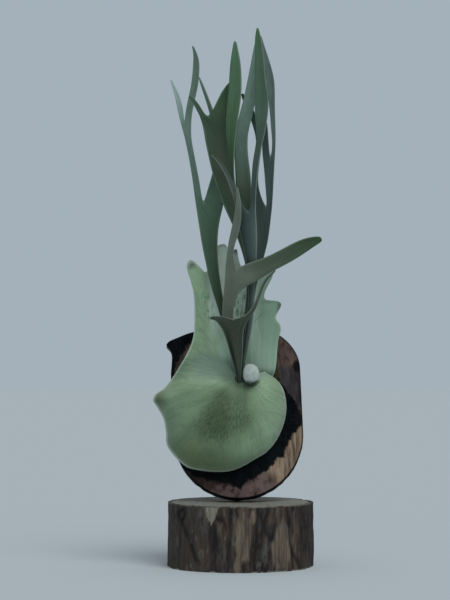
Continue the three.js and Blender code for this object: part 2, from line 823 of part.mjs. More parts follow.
const youngFrond = {
  cup: 0.14,
  rungs: [
    [-4, -28, 221, 1, -28, 221],
    [-5, -43, 231, 1, -43, 233],
    [-8, -47, 243, 2, -47, 245],
    [-12, -51, 256, 3, -51, 258],
    [-16, -56, 271, 3, -56, 272],
    [-21, -62, 285, 4, -62, 286],
    [-28, -68, 295, -8, -70, 295, 9, -68, 296],
  ],
  prongs: [
    {
      columns: 1,
      rungs: [
        [-32, -77, 296, -19, -76, 300],
        [-37, -88, 297, -31, -90, 300],
      ],
    },
    {
      columns: 1,
      rungs: [
        [4, -72, 298, 13, -68, 301],
        [16, -74, 311, 19, -67, 310],
        [22.5, -77, 331, 24.5, -70, 330],
        [28.5, -79, 345, 30.5, -73, 343],
        [40.5, -81, 354, 41.5, -78, 353],
      ],
    },
  ],
};

function addFrond(name, blade) {
  const solid = thickened(smoothed(strip(blade)), FROND_THICKNESS);
  addPiece(name, cutBy(solid, knobRoom), finish.frond);
}

addFrond("antler_frond_left", leftFrond);
addFrond("antler_frond_middle", crownFrond);
addFrond("antler_frond_right", rightFrond);
addFrond("antler_frond_rear", rearFrond);
addFrond("antler_frond_arm", armFrond);
addFrond("antler_frond_young", youngFrond);

export default part;
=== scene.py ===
"""A staghorn fern mounted on a slab board, which stands on a sawn length of log."""

import math
import random
from functools import reduce

import bmesh
import bpy
from mathutils import Matrix, Vector, noise


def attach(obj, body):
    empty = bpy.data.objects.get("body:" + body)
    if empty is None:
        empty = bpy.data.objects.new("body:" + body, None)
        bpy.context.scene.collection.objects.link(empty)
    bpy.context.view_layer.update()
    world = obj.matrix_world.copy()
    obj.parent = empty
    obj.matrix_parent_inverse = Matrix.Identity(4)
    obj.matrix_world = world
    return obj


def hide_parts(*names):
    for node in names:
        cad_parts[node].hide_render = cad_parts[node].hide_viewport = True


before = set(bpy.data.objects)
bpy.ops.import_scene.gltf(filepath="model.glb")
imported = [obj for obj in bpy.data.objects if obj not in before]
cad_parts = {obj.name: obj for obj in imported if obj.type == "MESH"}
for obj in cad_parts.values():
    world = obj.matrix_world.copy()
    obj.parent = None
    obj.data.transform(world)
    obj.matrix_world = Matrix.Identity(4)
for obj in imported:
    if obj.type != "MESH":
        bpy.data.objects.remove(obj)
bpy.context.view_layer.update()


# Log stand. A sawn length of round wood that still has its bark, the foot for the board. Both ends are
# cut flat. The bark is fissured lengthways, has peeled to tan fibre in a few places on the front, and a
# splinter of it has come off the top edge, where the pale wood shows.

MM = 0.001
LOG_HALF_WIDTH = 88 * MM
LOG_HALF_DEPTH = 80 * MM
LOG_HEIGHT = 77 * MM
LOG_CORNERS = 320
LOG_ROWS = 44
LOG_WAVES = [(0.008, 3, 0.8, 0), (0.006, 7, 0, 2)]  # share of the radius, how many round, turn, twist
LOG_TAPER = 0.006
BARK_SHARE = 4 * MM / LOG_HALF_WIDTH
BARK_INSIDE = 1 - BARK_SHARE - 0.02
SAWN_INSIDE = 0.985
# How deep the bark's skin, its lumps and its marks lie, in millimetres.
BARK_SUNK, BARK_PLATES, BARK_FLAKES, BARK_FIBRES = 0.8, 0.7, 0.5, 0.25
FISSURES_SUNK, PEELED_SUNK, BARE_SUNK = 1.6, 1.3, 2.2
SAWN_RINGS = [1 - 0.4 * BARK_SHARE, 1 - BARK_SHARE, 1 - 1.3 * BARK_SHARE]
SAWN_RINGS += [0.9, 0.84, 0.76, 0.67, 0.57, 0.46, 0.34, 0.22, 0.1]
BARK_CHIPS = 0.5 * MM
CRACK_DEPTH, CRACK_WIDTH, CRACK_SWAY = 2.4 * MM, 0.012, 0.05
DRYING_CRACKS = [(0.35, 0.1), (2.3, 0.35), (4.1, 0.2), (5.3, 0.45)]  # turn, and where it starts
LOG_FISSURES = [
    # turn round the log, depth as a share of its radius, slant
    (-2.55, 0.03, 0.1), (-2.0, 0.022, -0.06), (-1.35, 0.028, 0.08), (-0.8, 0.024, -0.1), (0.4, 0.026, 0.05),
    (1.6, 0.03, -0.08), (2.6, 0.022, 0.06),
]
# How wide each fissure is sunk, and how wide the dark along it is painted: partly the bark's own colour,
# partly painted shade in the groove.
FISSURE_WIDTH, FISSURE_SHADE_WIDTH = 0.05, 0.03
# Ovals on the front of the bark: middle x and z, half width and half height, in millimetres.
PEELED = [(3, 42, 9, 32), (15.5, 66, 2.8, 9), (49, 28, 12, 29), (-3, 10, 4, 12)]
WARM = [(-54, 20, 22, 24), (-19, 56, 11, 22), (45, 66, 17, 12), (64, 40, 5, 30), (66, 12, 13, 13)]
# Bands of painted shadow down the front of the bark, which also sink it a little.
SHADE_BANDS = [(20, 6, 0.14), (-31, 6, -0.1), (-13, 3, 0.05), (80, 12, 0)]  # middle x, half width, slant
SPLINTER_X = -34 * MM
SPLINTER_TIP = 55 * MM
SPLINTER_HALF_WIDTH = 9.5 * MM
SCAR = [
    # x and z of a dark groove, in millimetres: it rings the stub of a twig and then runs down
    (-69.7, 57.4), (-66, 62), (-65.5, 68), (-66.5, 72), (-72.5, 68.5), (-73, 63), (-69.7, 57.4), (-66, 49),
    (-62, 39.5), (-57.5, 28.5), (-53, 15), (-49, 8),
]


def smoothstep(low, high, value):
    share = min(max((value - low) / (high - low), 0), 1)
    return share * share * (3 - 2 * share)


def lerp(first, second, share):
    return first + (second - first) * share


def hump(distance, width):
    return math.exp(-((distance / width) ** 2))


def from_oval(x, z, oval):
    """How far a spot is from the middle of an oval in millimetres, where the oval's edge is at 1."""
    middle_x, middle_z, half_width, half_height = oval
    return math.hypot((x / MM - middle_x) / half_width, (z / MM - middle_z) / half_height)


def chained(bm, spots, closed=True):
    """Joins spots with a chain of edges."""
    corners = [bm.verts.new(spot) for spot in spots]
    return [bm.edges.new(pair) for pair in zip(corners, corners[1:] + corners[:closed])]


def drawn_on(bm, edges, place):
    """Extrudes a chain of edges and puts each new corner where place says, from the corner it grew from."""
    grown = bmesh.ops.extrude_edge_only(bm, edges=edges)["geom"]
    corners = [g for g in grown if isinstance(g, bmesh.types.BMVert)]
    for corner in corners:
        corner.co = place(corner.co)
    new = set(corners)
    return [g for g in grown if isinstance(g, bmesh.types.BMEdge) and set(g.verts) <= new]


def ringed(bm, edges, shares, place, mark=None):
    """Grows rings inwards from a chain of edges, each a share of the first one's size.

    place gives a corner's new spot from its old one, how much the ring shrinks and the ring's share.
    """
    before = 1
    for share in shares:
        edges = drawn_on(bm, edges, lambda co: place(co, share / before, share))
        before = share
        for corner in {corner for edge in edges for corner in edge.verts} if mark else ():
            mark(corner, share)
    return edges


def finished(name, bm, *materials):
    """Makes the mesh an object of its own at the origin, shaded smooth."""
    mesh = bpy.data.meshes.new(name)
    bm.to_mesh(mesh)
    bm.free()
    for material in materials:
        mesh.materials.append(material)
    mesh.shade_smooth()
    piece = bpy.data.objects.new(name, mesh)
    bpy.context.collection.objects.link(piece)
    return piece


def off_line(x, z, points):
    """How far a spot lies from a line through flat points."""
    nearest = math.inf
    for (ax, az), (bx, bz) in zip(points, points[1:]):
        share = ((x - ax) * (bx - ax) + (z - az) * (bz - az)) / ((bx - ax) ** 2 + (bz - az) ** 2)
        share = min(max(share, 0), 1)
        nearest = min(nearest, math.hypot(x - lerp(ax, bx, share), z - lerp(az, bz, share)))
    return nearest


def bark_marks(x, y, z):
    """How peeled, how dark along fissures and shade bands, how bare of bark and how warm brown the log's
    side is, 0 to 1; the dark is partly painted shade.
    """
    angle = math.atan2(y / LOG_HALF_DEPTH, x / LOG_HALF_WIDTH)
    height = z / LOG_HEIGHT
    ragged = noise.noise(Vector((x, y, 0.35 * z)) * 160)
    peeled = bare = warm = 0
    if y < 0:
        warm = max(smoothstep(1.2, 0.7, from_oval(x, z, oval) + 0.4 * ragged) for oval in WARM)
        peeled = max(smoothstep(1.15, 0.8, from_oval(x, z, oval) + 0.4 * ragged) for oval in PEELED)
        share = (z - SPLINTER_TIP) / (LOG_HEIGHT - SPLINTER_TIP)
        off = abs(x - SPLINTER_X) / (SPLINTER_HALF_WIDTH * max(share, 0.01))
        bare = smoothstep(1.2, 0.85, off + 0.5 * ragged) if share > 0 else 0
    fissured_and_shaded = max(
        hump(angle - turn - slant * (height - 0.5), FISSURE_SHADE_WIDTH) for turn, _, slant in LOG_FISSURES
    )
    seam = 1 - abs(noise.noise(Vector((x, y, 0.22 * z)) * 75 + Vector((7, 3, 1)))) * 2
    closed_up = smoothstep(-28 * MM, -44 * MM, x) * (y < 0)
    fissured_and_shaded *= 1 - 0.6 * closed_up
    fissured_and_shaded = max(fissured_and_shaded, smoothstep(0.72, 1, seam) * (1 - 0.6 * peeled) * (1 - 0.75 * closed_up))
    if y < 0:
        fissured_and_shaded = max(fissured_and_shaded, 1.2 * hump(off_line(x / MM, z / MM, SCAR), 2) * (1 + 0.8 * ragged))
        for band_x, half_width, slant in SHADE_BANDS:
            off = x - band_x * MM - slant * (z - LOG_HEIGHT / 2)
            fissured_and_shaded = max(fissured_and_shaded, (0.6 + 0.5 * ragged) * hump(off, half_width * MM) * (1 - peeled))
    return peeled, min(fissured_and_shaded, 1) * (1 - bare), bare, warm


def log_side(x, y, z):
    """The spot on the bark's surface at that height, in the direction of x and y."""
    angle = math.atan2(y / LOG_HALF_DEPTH, x / LOG_HALF_WIDTH)
    height = z / LOG_HEIGHT
    reach = 1 + LOG_TAPER * (0.5 - height)
    for rise, waves, start, twist in LOG_WAVES:
        reach += rise * math.sin(waves * angle + start + twist * height)
    for turn, depth, slant in LOG_FISSURES:
        off = angle - turn - slant * (height - 0.5)
        reach -= depth * hump(off, FISSURE_WIDTH) * (0.6 + 0.4 * height)
    spot = Vector((reach * LOG_HALF_WIDTH * math.cos(angle), reach * LOG_HALF_DEPTH * math.sin(angle), z))
    peeled, fissured_and_shaded, bare, _ = bark_marks(*spot)
    plates = noise.noise(Vector((spot.x, spot.y, 0.3 * z)) * 45)
    flakes = noise.noise(Vector((spot.x, spot.y, 0.25 * z)) * 240)
    fibres = noise.noise(Vector((spot.x, spot.y, 0.04 * z)) * 600)
    sunk = BARK_SUNK + BARK_PLATES * plates + BARK_FLAKES * flakes * (1 - bare) + BARK_FIBRES * fibres
    sunk += FISSURES_SUNK * fissured_and_shaded + PEELED_SUNK * peeled * (1 - bare) + BARE_SUNK * bare
    inwards = Vector((spot.x, spot.y, 0)).normalized()
    return spot - inwards * max(sunk, 0.1) * MM


def placed(kind, inputs=(), tree=None, **settings):
    """Adds a shader node with its settings, and fills its sockets with values or with other sockets.

    Where no tree is given, it goes into the tree of the sockets that feed it.
    """
    inputs = dict(inputs)
    feeding = [value for value in inputs.values() if isinstance(value, bpy.types.NodeSocket)]
    tree = tree or feeding[0].id_data
    made = tree.nodes.new(kind)
    for name, value in settings.items():
        setattr(made, name, value)
    for name, value in inputs.items():
        socket = made.inputs[name]
        if isinstance(value, bpy.types.NodeSocket):
            tree.links.new(value, socket)
        else:
            socket.default_value = (*value, 1) if socket.type == "RGBA" else value
    return made


def led(value, socket):
    value.id_data.links.new(value, socket)


def maths(operation, first, second=0):
    return placed("ShaderNodeMath", {0: first, 1: second}, operation=operation).outputs[0]


def times(first, second):
    return maths("MULTIPLY", first, second)


def plus(first, second):
    return maths("ADD", first, second)


def mixed(share, first, second):
    return placed("ShaderNodeMix", {0: share, 6: first, 7: second}, data_type="RGBA").outputs[2]


def stained(colour, *stains):
    """The colour with stains over it: each one's mask, its strength where that is 1, and its colour."""
    for mask, strength, stain in stains:
        colour = mixed(mask if strength == 1 else times(mask, strength), colour, stain)
    return colour


def spread(value, low, high, bottom=0, top=1):
    """Spreads the values from low to high out over bottom to top, with a soft start and end."""
    inputs = {"Value": value, 1: low, 2: high, 3: bottom, 4: top}
    return placed("ShaderNodeMapRange", inputs, interpolation_type="SMOOTHSTEP").outputs[0]


def zoned(at, *fades):
    """A mask of fades times each other: along which axis, from where it is 0 to where it is 1, in mm."""
    return reduce(times, [spread(at[axis], start * MM, end * MM) for axis, start, end in fades])


def parts_of(vector):
    return placed("ShaderNodeSeparateXYZ", {0: vector}).outputs


def length_of(vector):
    return placed("ShaderNodeVectorMath", {0: vector}, operation="LENGTH").outputs["Value"]


def scaled(vector, scale, **more):
    return placed("ShaderNodeMapping", {"Vector": vector, "Scale": scale, **more}).outputs[0]


def object_spot(tree, scale=(1, 1, 1), turn=(0, 0, 0)):
    return scaled(placed("ShaderNodeTexCoord", tree=tree).outputs["Object"], scale, Rotation=turn)


def attribute(tree, name):
    return placed("ShaderNodeAttribute", tree=tree, attribute_name=name).outputs


def marks_of(tree, name):
    """The red, green, blue and alpha of a colour attribute, which hold four masks."""
    marks = attribute(tree, name)
    return (*placed("ShaderNodeSeparateColor", {0: marks["Color"]}).outputs, marks["Alpha"])


def cloud(spot, scale, detail=3, roughness=0.55, distortion=0):
    inputs = {"Vector": spot, "Scale": scale, "Detail": detail, "Roughness": roughness}
    inputs["Distortion"] = distortion
    return placed("ShaderNodeTexNoise", inputs).outputs[0]


def new_effect(name, inputs, outputs):
    """Starts a shader node group. Gives its tree, its input sockets and its output sockets."""
    tree = bpy.data.node_groups.new(name, "ShaderNodeTree")
    for socket, kind, value in inputs:
        tree.interface.new_socket(socket, in_out="INPUT", socket_type=kind).default_value = value
    for socket, kind in outputs:
        tree.interface.new_socket(socket, in_out="OUTPUT", socket_type=kind)
    return tree, placed("NodeGroupInput", tree=tree).outputs, placed("NodeGroupOutput", tree=tree).inputs


def new_material(name, roughness, **constants):
    """A material, its node tree and its shader, with the values that are the same all over."""
    material = bpy.data.materials.new(name)
    material.use_nodes = True
    shader = material.node_tree.nodes["Principled BSDF"]
    shader.inputs["Roughness"].default_value = roughness
    for socket, value in constants.items():
        shader.inputs[socket.replace("_", " ")].default_value = value
    return material, material.node_tree, shader


def painted(shader, colour):
    led(colour, shader.inputs["Base Color"])


def bumped(shader, height, distance, strength=1):
    inputs = {"Height": height, "Distance": distance, "Strength": strength}
    led(placed("ShaderNodeBump", inputs).outputs[0], shader.inputs["Normal"])


# Fibres are long thin streaks that run up the piece: in bark, in wood and in dry moss.
FLOAT, COLOUR, VECTOR = "NodeSocketFloat", "NodeSocketColor", "NodeSocketVector"
fibres, given, out = new_effect(
    "Fibres",
    [
        ("Spot", VECTOR, (0, 0, 0)), ("Across", FLOAT, 300), ("Stretch", FLOAT, 0.05),
        ("Light", COLOUR, (1, 1, 1, 1)), ("Dark", COLOUR, (0, 0, 0, 1)),
    ],
    [("Colour", COLOUR), ("Height", FLOAT)],
)
axes = placed("ShaderNodeCombineXYZ", {0: 1, 1: 1, 2: given["Stretch"]}).outputs[0]
drawn = placed("ShaderNodeVectorMath", {0: given["Spot"], 1: axes}, operation="MULTIPLY").outputs[0]
fine = cloud(drawn, given["Across"], 4, 0.65)
broad = cloud(drawn, times(given["Across"], 0.22), 2, 0.5, 0.6)
height = plus(times(fine, 0.6), times(broad, 0.4))
led(height, out["Height"])
led(mixed(spread(height, 0.38, 0.62), given["Dark"], given["Light"]), out["Colour"])


def streaked(spot, across, stretch, light, dark):
    inputs = {"Spot": spot, "Across": across, "Stretch": stretch, "Light": light, "Dark": dark}
    return placed("ShaderNodeGroup", inputs, node_tree=fibres).outputs


bark, tree, shader = new_material("log_bark", 0.9, Specular_IOR_Level=0.25)
peeled, fissured_and_shaded, bare, warm = marks_of(tree, "bark_marks")
spot = object_spot(tree)
grey = streaked(spot, 220, 0.25, (0.108, 0.1, 0.088), (0.022, 0.019, 0.019))
brown = streaked(spot, 380, 0.12, (0.08, 0.054, 0.042), (0.027, 0.019, 0.017))
russet = streaked(spot, 260, 0.12, (0.12, 0.088, 0.066), (0.05, 0.034, 0.027))
tan = streaked(spot, 480, 0.08, (0.23, 0.19, 0.14), (0.1, 0.08, 0.062))
cream = streaked(spot, 500, 0.04, (0.33, 0.32, 0.25), (0.17, 0.155, 0.11))
zones = cloud(object_spot(tree, (1, 1, 0.3)), 42, 2, 0.5, 0.4)
worn = cloud(object_spot(tree, (1, 1, 0.4)), 170, 3)
painted(shader, stained(
    grey["Colour"],
    (spread(zones, 0.5, 0.62), 1, brown["Colour"]),
    (warm, 0.9, russet["Colour"]),
    (zoned(parts_of(spot), ("X", -30, -55)), 0.65, (0.062, 0.053, 0.045)),
    (peeled, 1, tan["Colour"]),
    (spread(worn, 0.58, 0.68), 0.4, (0.19, 0.19, 0.17)),
    # Nearly black along the fissures, the twig scar and the shade bands: the bands are painted shadow, and
    # the fissures are partly painted shade.
    (fissured_and_shaded, 0.88, (0.013, 0.011, 0.013)),
    (bare, 1, cream["Colour"]),
))
bumped(shader, plus(grey["Height"], times(cloud(spot, 900, 3), 0.5)), 1.2 * MM, 0.8)

sawn, tree, shader = new_material("log_sawn_end", 0.75, Specular_IOR_Level=0.3)
crack_shade, _, skin, _ = marks_of(tree, "bark_marks")
spot = object_spot(tree, (1, 1.09, 0))
wobble = cloud(spot, 22, 2)
far = length_of(spot)
rings = maths("SINE", plus(times(far, 1900), times(wobble, 9)))
heart = spread(plus(far, times(wobble, 0.02)), 0.03, 0.045)
saw = cloud(object_spot(tree, (1, 0.03, 1), (0, 0, 0.4)), 420, 3)
painted(shader, stained(
    (0.12, 0.115, 0.09),
    (heart, 1, (0.24, 0.255, 0.225)),
    (spread(rings, -0.2, 1, 0, 0.4), 1, (0.14, 0.135, 0.11)),
    (spread(saw, 0.4, 0.7, 0, 0.35), 1, (0.34, 0.36, 0.32)),
    (skin, 1, (0.035, 0.03, 0.028)),
    # Painted shade down in the drying cracks.
    (crack_shade, 1, (0.05, 0.04, 0.03)),
))
bumped(shader, plus(saw, times(rings, 0.1)), 0.5 * MM, 0.7)

bm = bmesh.new()
bmesh.ops.create_circle(bm, segments=LOG_CORNERS, radius=LOG_HALF_WIDTH)
for corner in bm.verts:
    corner.co = log_side(corner.co.x, corner.co.y * LOG_HALF_DEPTH / LOG_HALF_WIDTH, 0)
foot = edges = list(bm.edges)
for row in range(1, LOG_ROWS + 1):
    z = LOG_HEIGHT * row / LOG_ROWS
    edges = drawn_on(bm, edges, lambda co: log_side(co.x, co.y, z))
side_faces = len(bm.faces)


def crack_at(x, y):
    """How far a spot on a sawn end lies in a drying crack, which opens from the heart to the bark."""
    angle = math.atan2(y, x) % (2 * math.pi)
    far = math.hypot(x, y) / LOG_HALF_WIDTH
    return max(
        hump((angle - turn - CRACK_SWAY * math.sin(14 * far)) * far, CRACK_WIDTH)
        * smoothstep(start, start + 0.25, far)
        for turn, start in DRYING_CRACKS
    )


def sawn_across(bm, edges, z, up):
    """Closes an end with rings of the sawn wood, which are sunk where it has cracked."""

    def place(co, shrink, share):
        at = Vector((co.x * shrink, co.y * shrink, z))
        chipped = BARK_CHIPS * abs(noise.noise(at * 180)) * (share > 1 - 1.1 * BARK_SHARE)
        at.z -= up * (chipped + CRACK_DEPTH * crack_at(at.x, at.y))
        return at

    bmesh.ops.contextual_create(bm, geom=ringed(bm, edges, SAWN_RINGS, place))


sawn_across(bm, edges, LOG_HEIGHT, 1)
sawn_across(bm, foot, 0, -1)
bmesh.ops.recalc_face_normals(bm, faces=bm.faces)
marks = bm.verts.layers.float_color.new("bark_marks")
for corner in bm.verts:
    corner[marks] = bark_marks(*corner.co)
for face in bm.faces[side_faces:]:
    face.material_index = 1
    for corner in face.verts:
        far = math.hypot(corner.co.x / LOG_HALF_WIDTH, corner.co.y / LOG_HALF_DEPTH)
        if far < SAWN_INSIDE:
            skin = far > BARK_INSIDE and bark_marks(*corner.co)[2] < 0.5
            corner[marks] = (crack_at(corner.co.x, corner.co.y), 0, float(skin), 0)
log = finished("sawn_log", bm, bark, sawn)
log.data.set_sharp_from_angle(angle=math.radians(55))
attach(log, "root")
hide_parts("log_stand")


# Mounting board. A slab sawn lengthways from a trunk, with a round foot and a rounder top. Its face is
# planed and oiled, with dark knots, and is charred black round the plant. The rim keeps a thin skin of
# dark bark, which flares out at the upper left, where a branch left the trunk.

BOARD_HALF_WIDTH = 78 * MM
BOARD_STRAIGHT = 77 * MM
BOARD_TOP_RISE = 58 * MM
BOARD_THICKNESS = 22 * MM
BOARD_BEVEL = 1.5 * MM
BOARD_LEAN = math.radians(9)
BOARD_TURN = math.radians(2.5)
BOARD_CENTRE = Vector((-2 * MM, 11.337 * MM, 155.983 * MM))
SKIN_AT_FOOT = 2.2 * MM
SKIN_HIGHER = 1.2 * MM
SKIN_SOFT_EDGE = 0.6 * MM
RIM_BUMPS = 0.15 * MM
RIM_ROWS = 12
BRANCH_FLARE = [
    # x and z on the board from the top's left end to where the left side is straight, in millimetres
    (-30, 130.54), (-41, 128), (-54, 125.5), (-67, 121), (-79, 116), (-82, 112), (-77.5, 105), (-76, 98),
    (-76.6, 88),
]
CHARRED = [
    # the black zone on the face round the plant, x and z as seen from the front, in millimetres
    (43, 231), (49, 220), (55, 211), (63, 202), (70, 188), (75, 178), (75, 170), (68, 163), (60, 151),
    (54, 140), (52, 131), (45, 129), (39, 122), (31, 114), (17, 107), (5, 101), (2, 92), (-4, 94),
    (-8, 99), (-18, 100), (-35, 103), (-54, 108), (-66, 118), (-75, 128), (-62, 160), (-50, 205),
    (-20, 250), (20, 250),
]
BLACK_FLARE = [
    # the dark bark of the flare on the face, in the same way
    (-48, 300), (-51, 281), (-57, 271), (-65, 261), (-72, 252), (-78, 242), (-81, 225), (-81, 205),
    (-120, 205), (-120, 300),
]
KNOTS = [(69, 239, 5.5, 7), (69.5, 177, 5, 9), (-30, 266, 5, 7)]  # ovals like those on the bark
FOOT_STEPS, SIDE_STEPS, TOP_STEPS, FLARE_STEPS = 80, 26, 60, 36
FACE_RINGS = [0.988, 0.974, 0.958, 0.94, 0.92] + [0.895 - 0.029 * k for k in range(30)]


def curve_through(points, share):
    """The spot at that share of the way along a smooth curve through flat points, as the solids have it."""
    at = min(share, 1) * (len(points) - 1)
    i = min(int(at), len(points) - 2)
    near = [Vector(points[min(max(k, 0), len(points) - 1)]) for k in range(i - 1, i + 3)]
    if i == 0:
        near[0] = 2 * near[1] - near[2]
    if i == len(points) - 2:
        near[3] = 2 * near[2] - near[1]
    before, gap, after = [max((near[k + 1] - near[k]).length, 1e-6) ** 0.5 for k in range(3)]
    start = (near[1] - near[0]) / before - (near[2] - near[0]) / (before + gap) + (near[2] - near[1]) / gap
    end = (near[2] - near[1]) / gap - (near[3] - near[1]) / (gap + after) + (near[3] - near[2]) / after
    t = at - i
    first = near[1] * (2 * t**3 - 3 * t**2 + 1) + start * gap * (t**3 - 2 * t**2 + t)
    return first + near[2] * (3 * t**2 - 2 * t**3) + end * gap * (t**3 - t**2)


def face_y(z):
    """Where the board's face is at that height."""
    slope = math.tan(BOARD_LEAN)
    return BOARD_CENTRE.y + slope * (z - BOARD_CENTRE.z) - BOARD_THICKNESS / 2 / math.cos(BOARD_LEAN)


def board_outline():
    """The flat outline, from the left end of the round foot: foot, right side, top, flare and left side."""
    outline = []
    for k in range(FOOT_STEPS):
        turn = math.pi * (1 + k / FOOT_STEPS)
        outline.append((BOARD_HALF_WIDTH * math.cos(turn), BOARD_HALF_WIDTH * math.sin(turn)))
    outline += [(BOARD_HALF_WIDTH, BOARD_STRAIGHT * k / SIDE_STEPS) for k in range(SIDE_STEPS)]
    last = math.acos(BRANCH_FLARE[0][0] * MM / BOARD_HALF_WIDTH)
    for k in range(TOP_STEPS):
        turn = last * k / TOP_STEPS
        rise = BOARD_TOP_RISE * math.sin(turn)
        outline.append((BOARD_HALF_WIDTH * math.cos(turn), BOARD_STRAIGHT + rise))
    for k in range(FLARE_STEPS + 1):
        outline.append(tuple(MM * curve_through(BRANCH_FLARE, k / FLARE_STEPS)))
    outline += [(-BOARD_HALF_WIDTH, BOARD_STRAIGHT * (1 - k / SIDE_STEPS)) for k in range(SIDE_STEPS)]
    return outline


def inside_by(x, z, outline):
    """How far inside a closed outline a spot lies, or less than 0 outside it."""
    closed = outline + outline[:1]
    nearest = off_line(x, z, closed)
    inside = False
    for (ax, az), (bx, bz) in zip(closed, closed[1:]):
        if (az > z) != (bz > z) and x < lerp(ax, bx, (z - az) / (bz - az)):
            inside = not inside
    return nearest if inside else -nearest


wood, tree, shader = new_material("board_wood", 0.6, Specular_IOR_Level=0.06)
charred, knot, skin, on_face = marks_of(tree, "board_marks")
lying = (BOARD_LEAN, BOARD_TURN, 0)
spot = object_spot(tree, (1, 0.25, 1), lying)
at = parts_of(spot)
zones = cloud(object_spot(tree, (1, 0.2, 0.3), lying), 30, 2, 0.5, 0.8)
mottled = cloud(object_spot(tree, (1, 0.3, 0.5), lying), 130, 2)
ragged = cloud(spot, 150, 5, 0.7)
tan = streaked(spot, 240, 0.03, (0.4, 0.3, 0.22), (0.12, 0.085, 0.062))
red = streaked(spot, 150, 0.06, (0.125, 0.085, 0.078), (0.022, 0.013, 0.012))
pink = streaked(spot, 120, 0.45, (0.21, 0.155, 0.14), (0.035, 0.022, 0.02))
smoke = streaked(spot, 130, 0.12, (0.075, 0.073, 0.082), (0.014, 0.013, 0.017))
# Near-black for the char and the bark skin, with a blue cast that is a painted reflection of the room in
# their gloss.
dark = streaked(spot, 160, 0.2, (0.004, 0.008, 0.01), (0.0005, 0.0015, 0.003))
upper = spread(plus(at["Z"], times(zones, 0.06)), 0.185, 0.225)
lower = plus(plus(at["Z"], times(at["X"], 0.95)), times(zones, 0.05))
smoked = times(zoned(at, ("Z", 238, 228), ("Z", 178, 190), ("X", 20, 30)), on_face)
burning = plus(charred, times(ragged, 0.5))
burnt = spread(burning, 1, 1.15)
scorched = times(spread(burning, 0.36, 0.56), zoned(at, ("Z", 140, 120), ("X", 22, 2)))
chipped = times(spread(cloud(spot, 85, 3, 0.6), 0.4, 0.55), zoned(at, ("Z", 100, 94), ("X", -30, -22)))
painted(shader, stained(
    tan["Colour"],
    (upper, 0.85, red["Colour"]),
    (spread(lower, 0.182, 0.157), 1, pink["Colour"]),
    (times(spread(mottled, 0.5, 0.62), upper), 0.6, (0.026, 0.02, 0.021)),
    (times(spread(mottled, 0.42, 0.34), upper), 0.5, (0.17, 0.135, 0.135)),
    (spread(zones, 0.54, 0.66, 0, 0.45), 1, red["Colour"]),
    (smoked, 0.85, smoke["Colour"]),
    (scorched, 0.8, (0.028, 0.016, 0.015)),
    (times(chipped, on_face), 0.6, (0.21, 0.145, 0.15)),
    (burnt, 1, dark["Colour"]),
    (knot, 0.95, (0.007, 0.006, 0.007)),
    (skin, 1, dark["Colour"]),
))
gloss = stained((0.58, 0.58, 0.58), (burnt, 1, (0.34, 0.34, 0.34)), (knot, 1, (0.16, 0.16, 0.16)))
led(gloss, shader.inputs["Roughness"])
bumped(shader, plus(times(tan["Height"], 0.6), times(burnt, times(ragged, 2))), 1 * MM, 0.8)

rind, tree, shader = new_material("board_rind", 0.5, Specular_IOR_Level=0.15)
spot = object_spot(tree)
crust = streaked(spot, 190, 0.3, (0.012, 0.013, 0.015), (0.002, 0.003, 0.004))
painted(shader, crust["Colour"])
bumped(shader, plus(crust["Height"], times(cloud(spot, 700), 0.4)), 1.4 * MM, 0.8)

bm = bmesh.new()
half = BOARD_THICKNESS / 2
marks = bm.verts.layers.float_color.new("board_marks")
rim = chained(bm, [(x, y, half - BOARD_BEVEL) for x, y in board_outline()])
for corner in bm.verts:
    corner[marks] = (0, 0, 1, 1)
middle = Vector((0, BOARD_STRAIGHT / 2, 0))


def board_face(bm, edges, height, shares):
    """Closes a face of the board with rings that shrink towards its middle, and marks its bark skin."""

    def place(co, shrink, share):
        return Vector((*(middle + shrink * (co - middle)).xy, height))

    def mark(corner, share):
        from_rim = (corner.co - middle).xy.length * (1 / share - 1)
        skin = lerp(SKIN_HIGHER, SKIN_AT_FOOT, smoothstep(5 * MM, -70 * MM, corner.co.y))
        skin *= 1 + 0.15 * noise.noise(corner.co * 60)
        barked = smoothstep(skin + SKIN_SOFT_EDGE, skin - SKIN_SOFT_EDGE, from_rim)
        corner[marks] = (0, 0, barked, float(height > 0))

    bmesh.ops.contextual_create(bm, geom=ringed(bm, edges, shares, place, mark))


board_face(bm, rim, half, FACE_RINGS)
face_count = len(bm.faces)
edges = rim
for row in range(1, RIM_ROWS + 1):
    w = lerp(half - BOARD_BEVEL, BOARD_BEVEL - half, row / RIM_ROWS)

    def gnarled(co):
        outwards = (Vector((co.x, co.y, 0)) - middle).normalized()
        bumps = noise.noise(Vector((co.x, co.y, 1.6 * w)) * 150)
        bumps += 0.5 * noise.noise(Vector((co.x, co.y, w)) * 420)
        return Vector((co.x, co.y, w)) + outwards * RIM_BUMPS * bumps

    edges = drawn_on(bm, edges, gnarled)
rim_count = len(bm.faces)
board_face(bm, edges, -half, FACE_RINGS[::3])
leaning = Matrix.Translation(BOARD_CENTRE) @ Matrix.Rotation(math.pi / 2 - BOARD_LEAN, 4, "X")
bmesh.ops.transform(bm, matrix=leaning @ Matrix.Rotation(BOARD_TURN, 4, "Z"), verts=bm.verts)
bmesh.ops.recalc_face_normals(bm, faces=bm.faces)
for i, face in enumerate(bm.faces):
    face.material_index = int(face_count <= i < rim_count)
for corner in {corner for face in bm.faces[:face_count] for corner in face.verts}:
    x, _, z = corner.co
    black = max(inside_by(x / MM, z / MM, CHARRED), inside_by(x / MM, z / MM, BLACK_FLARE))
    knotted = max(smoothstep(1.25, 0.8, from_oval(x, z, oval)) for oval in KNOTS)
    corner[marks] = (smoothstep(-18, 6, black), knotted, corner[marks][2], 1)
board = finished("slab_board", bm, wood, rind)
board.data.set_sharp_from_angle(angle=math.radians(50))
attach(board, "root")
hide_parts("mounting_board")


# Root ball. Damp long-fibred moss packed round the roots and dried brown at its surface, flat against
# the board and domed up to the shields, which hold it there. Loose strands stick out of it.

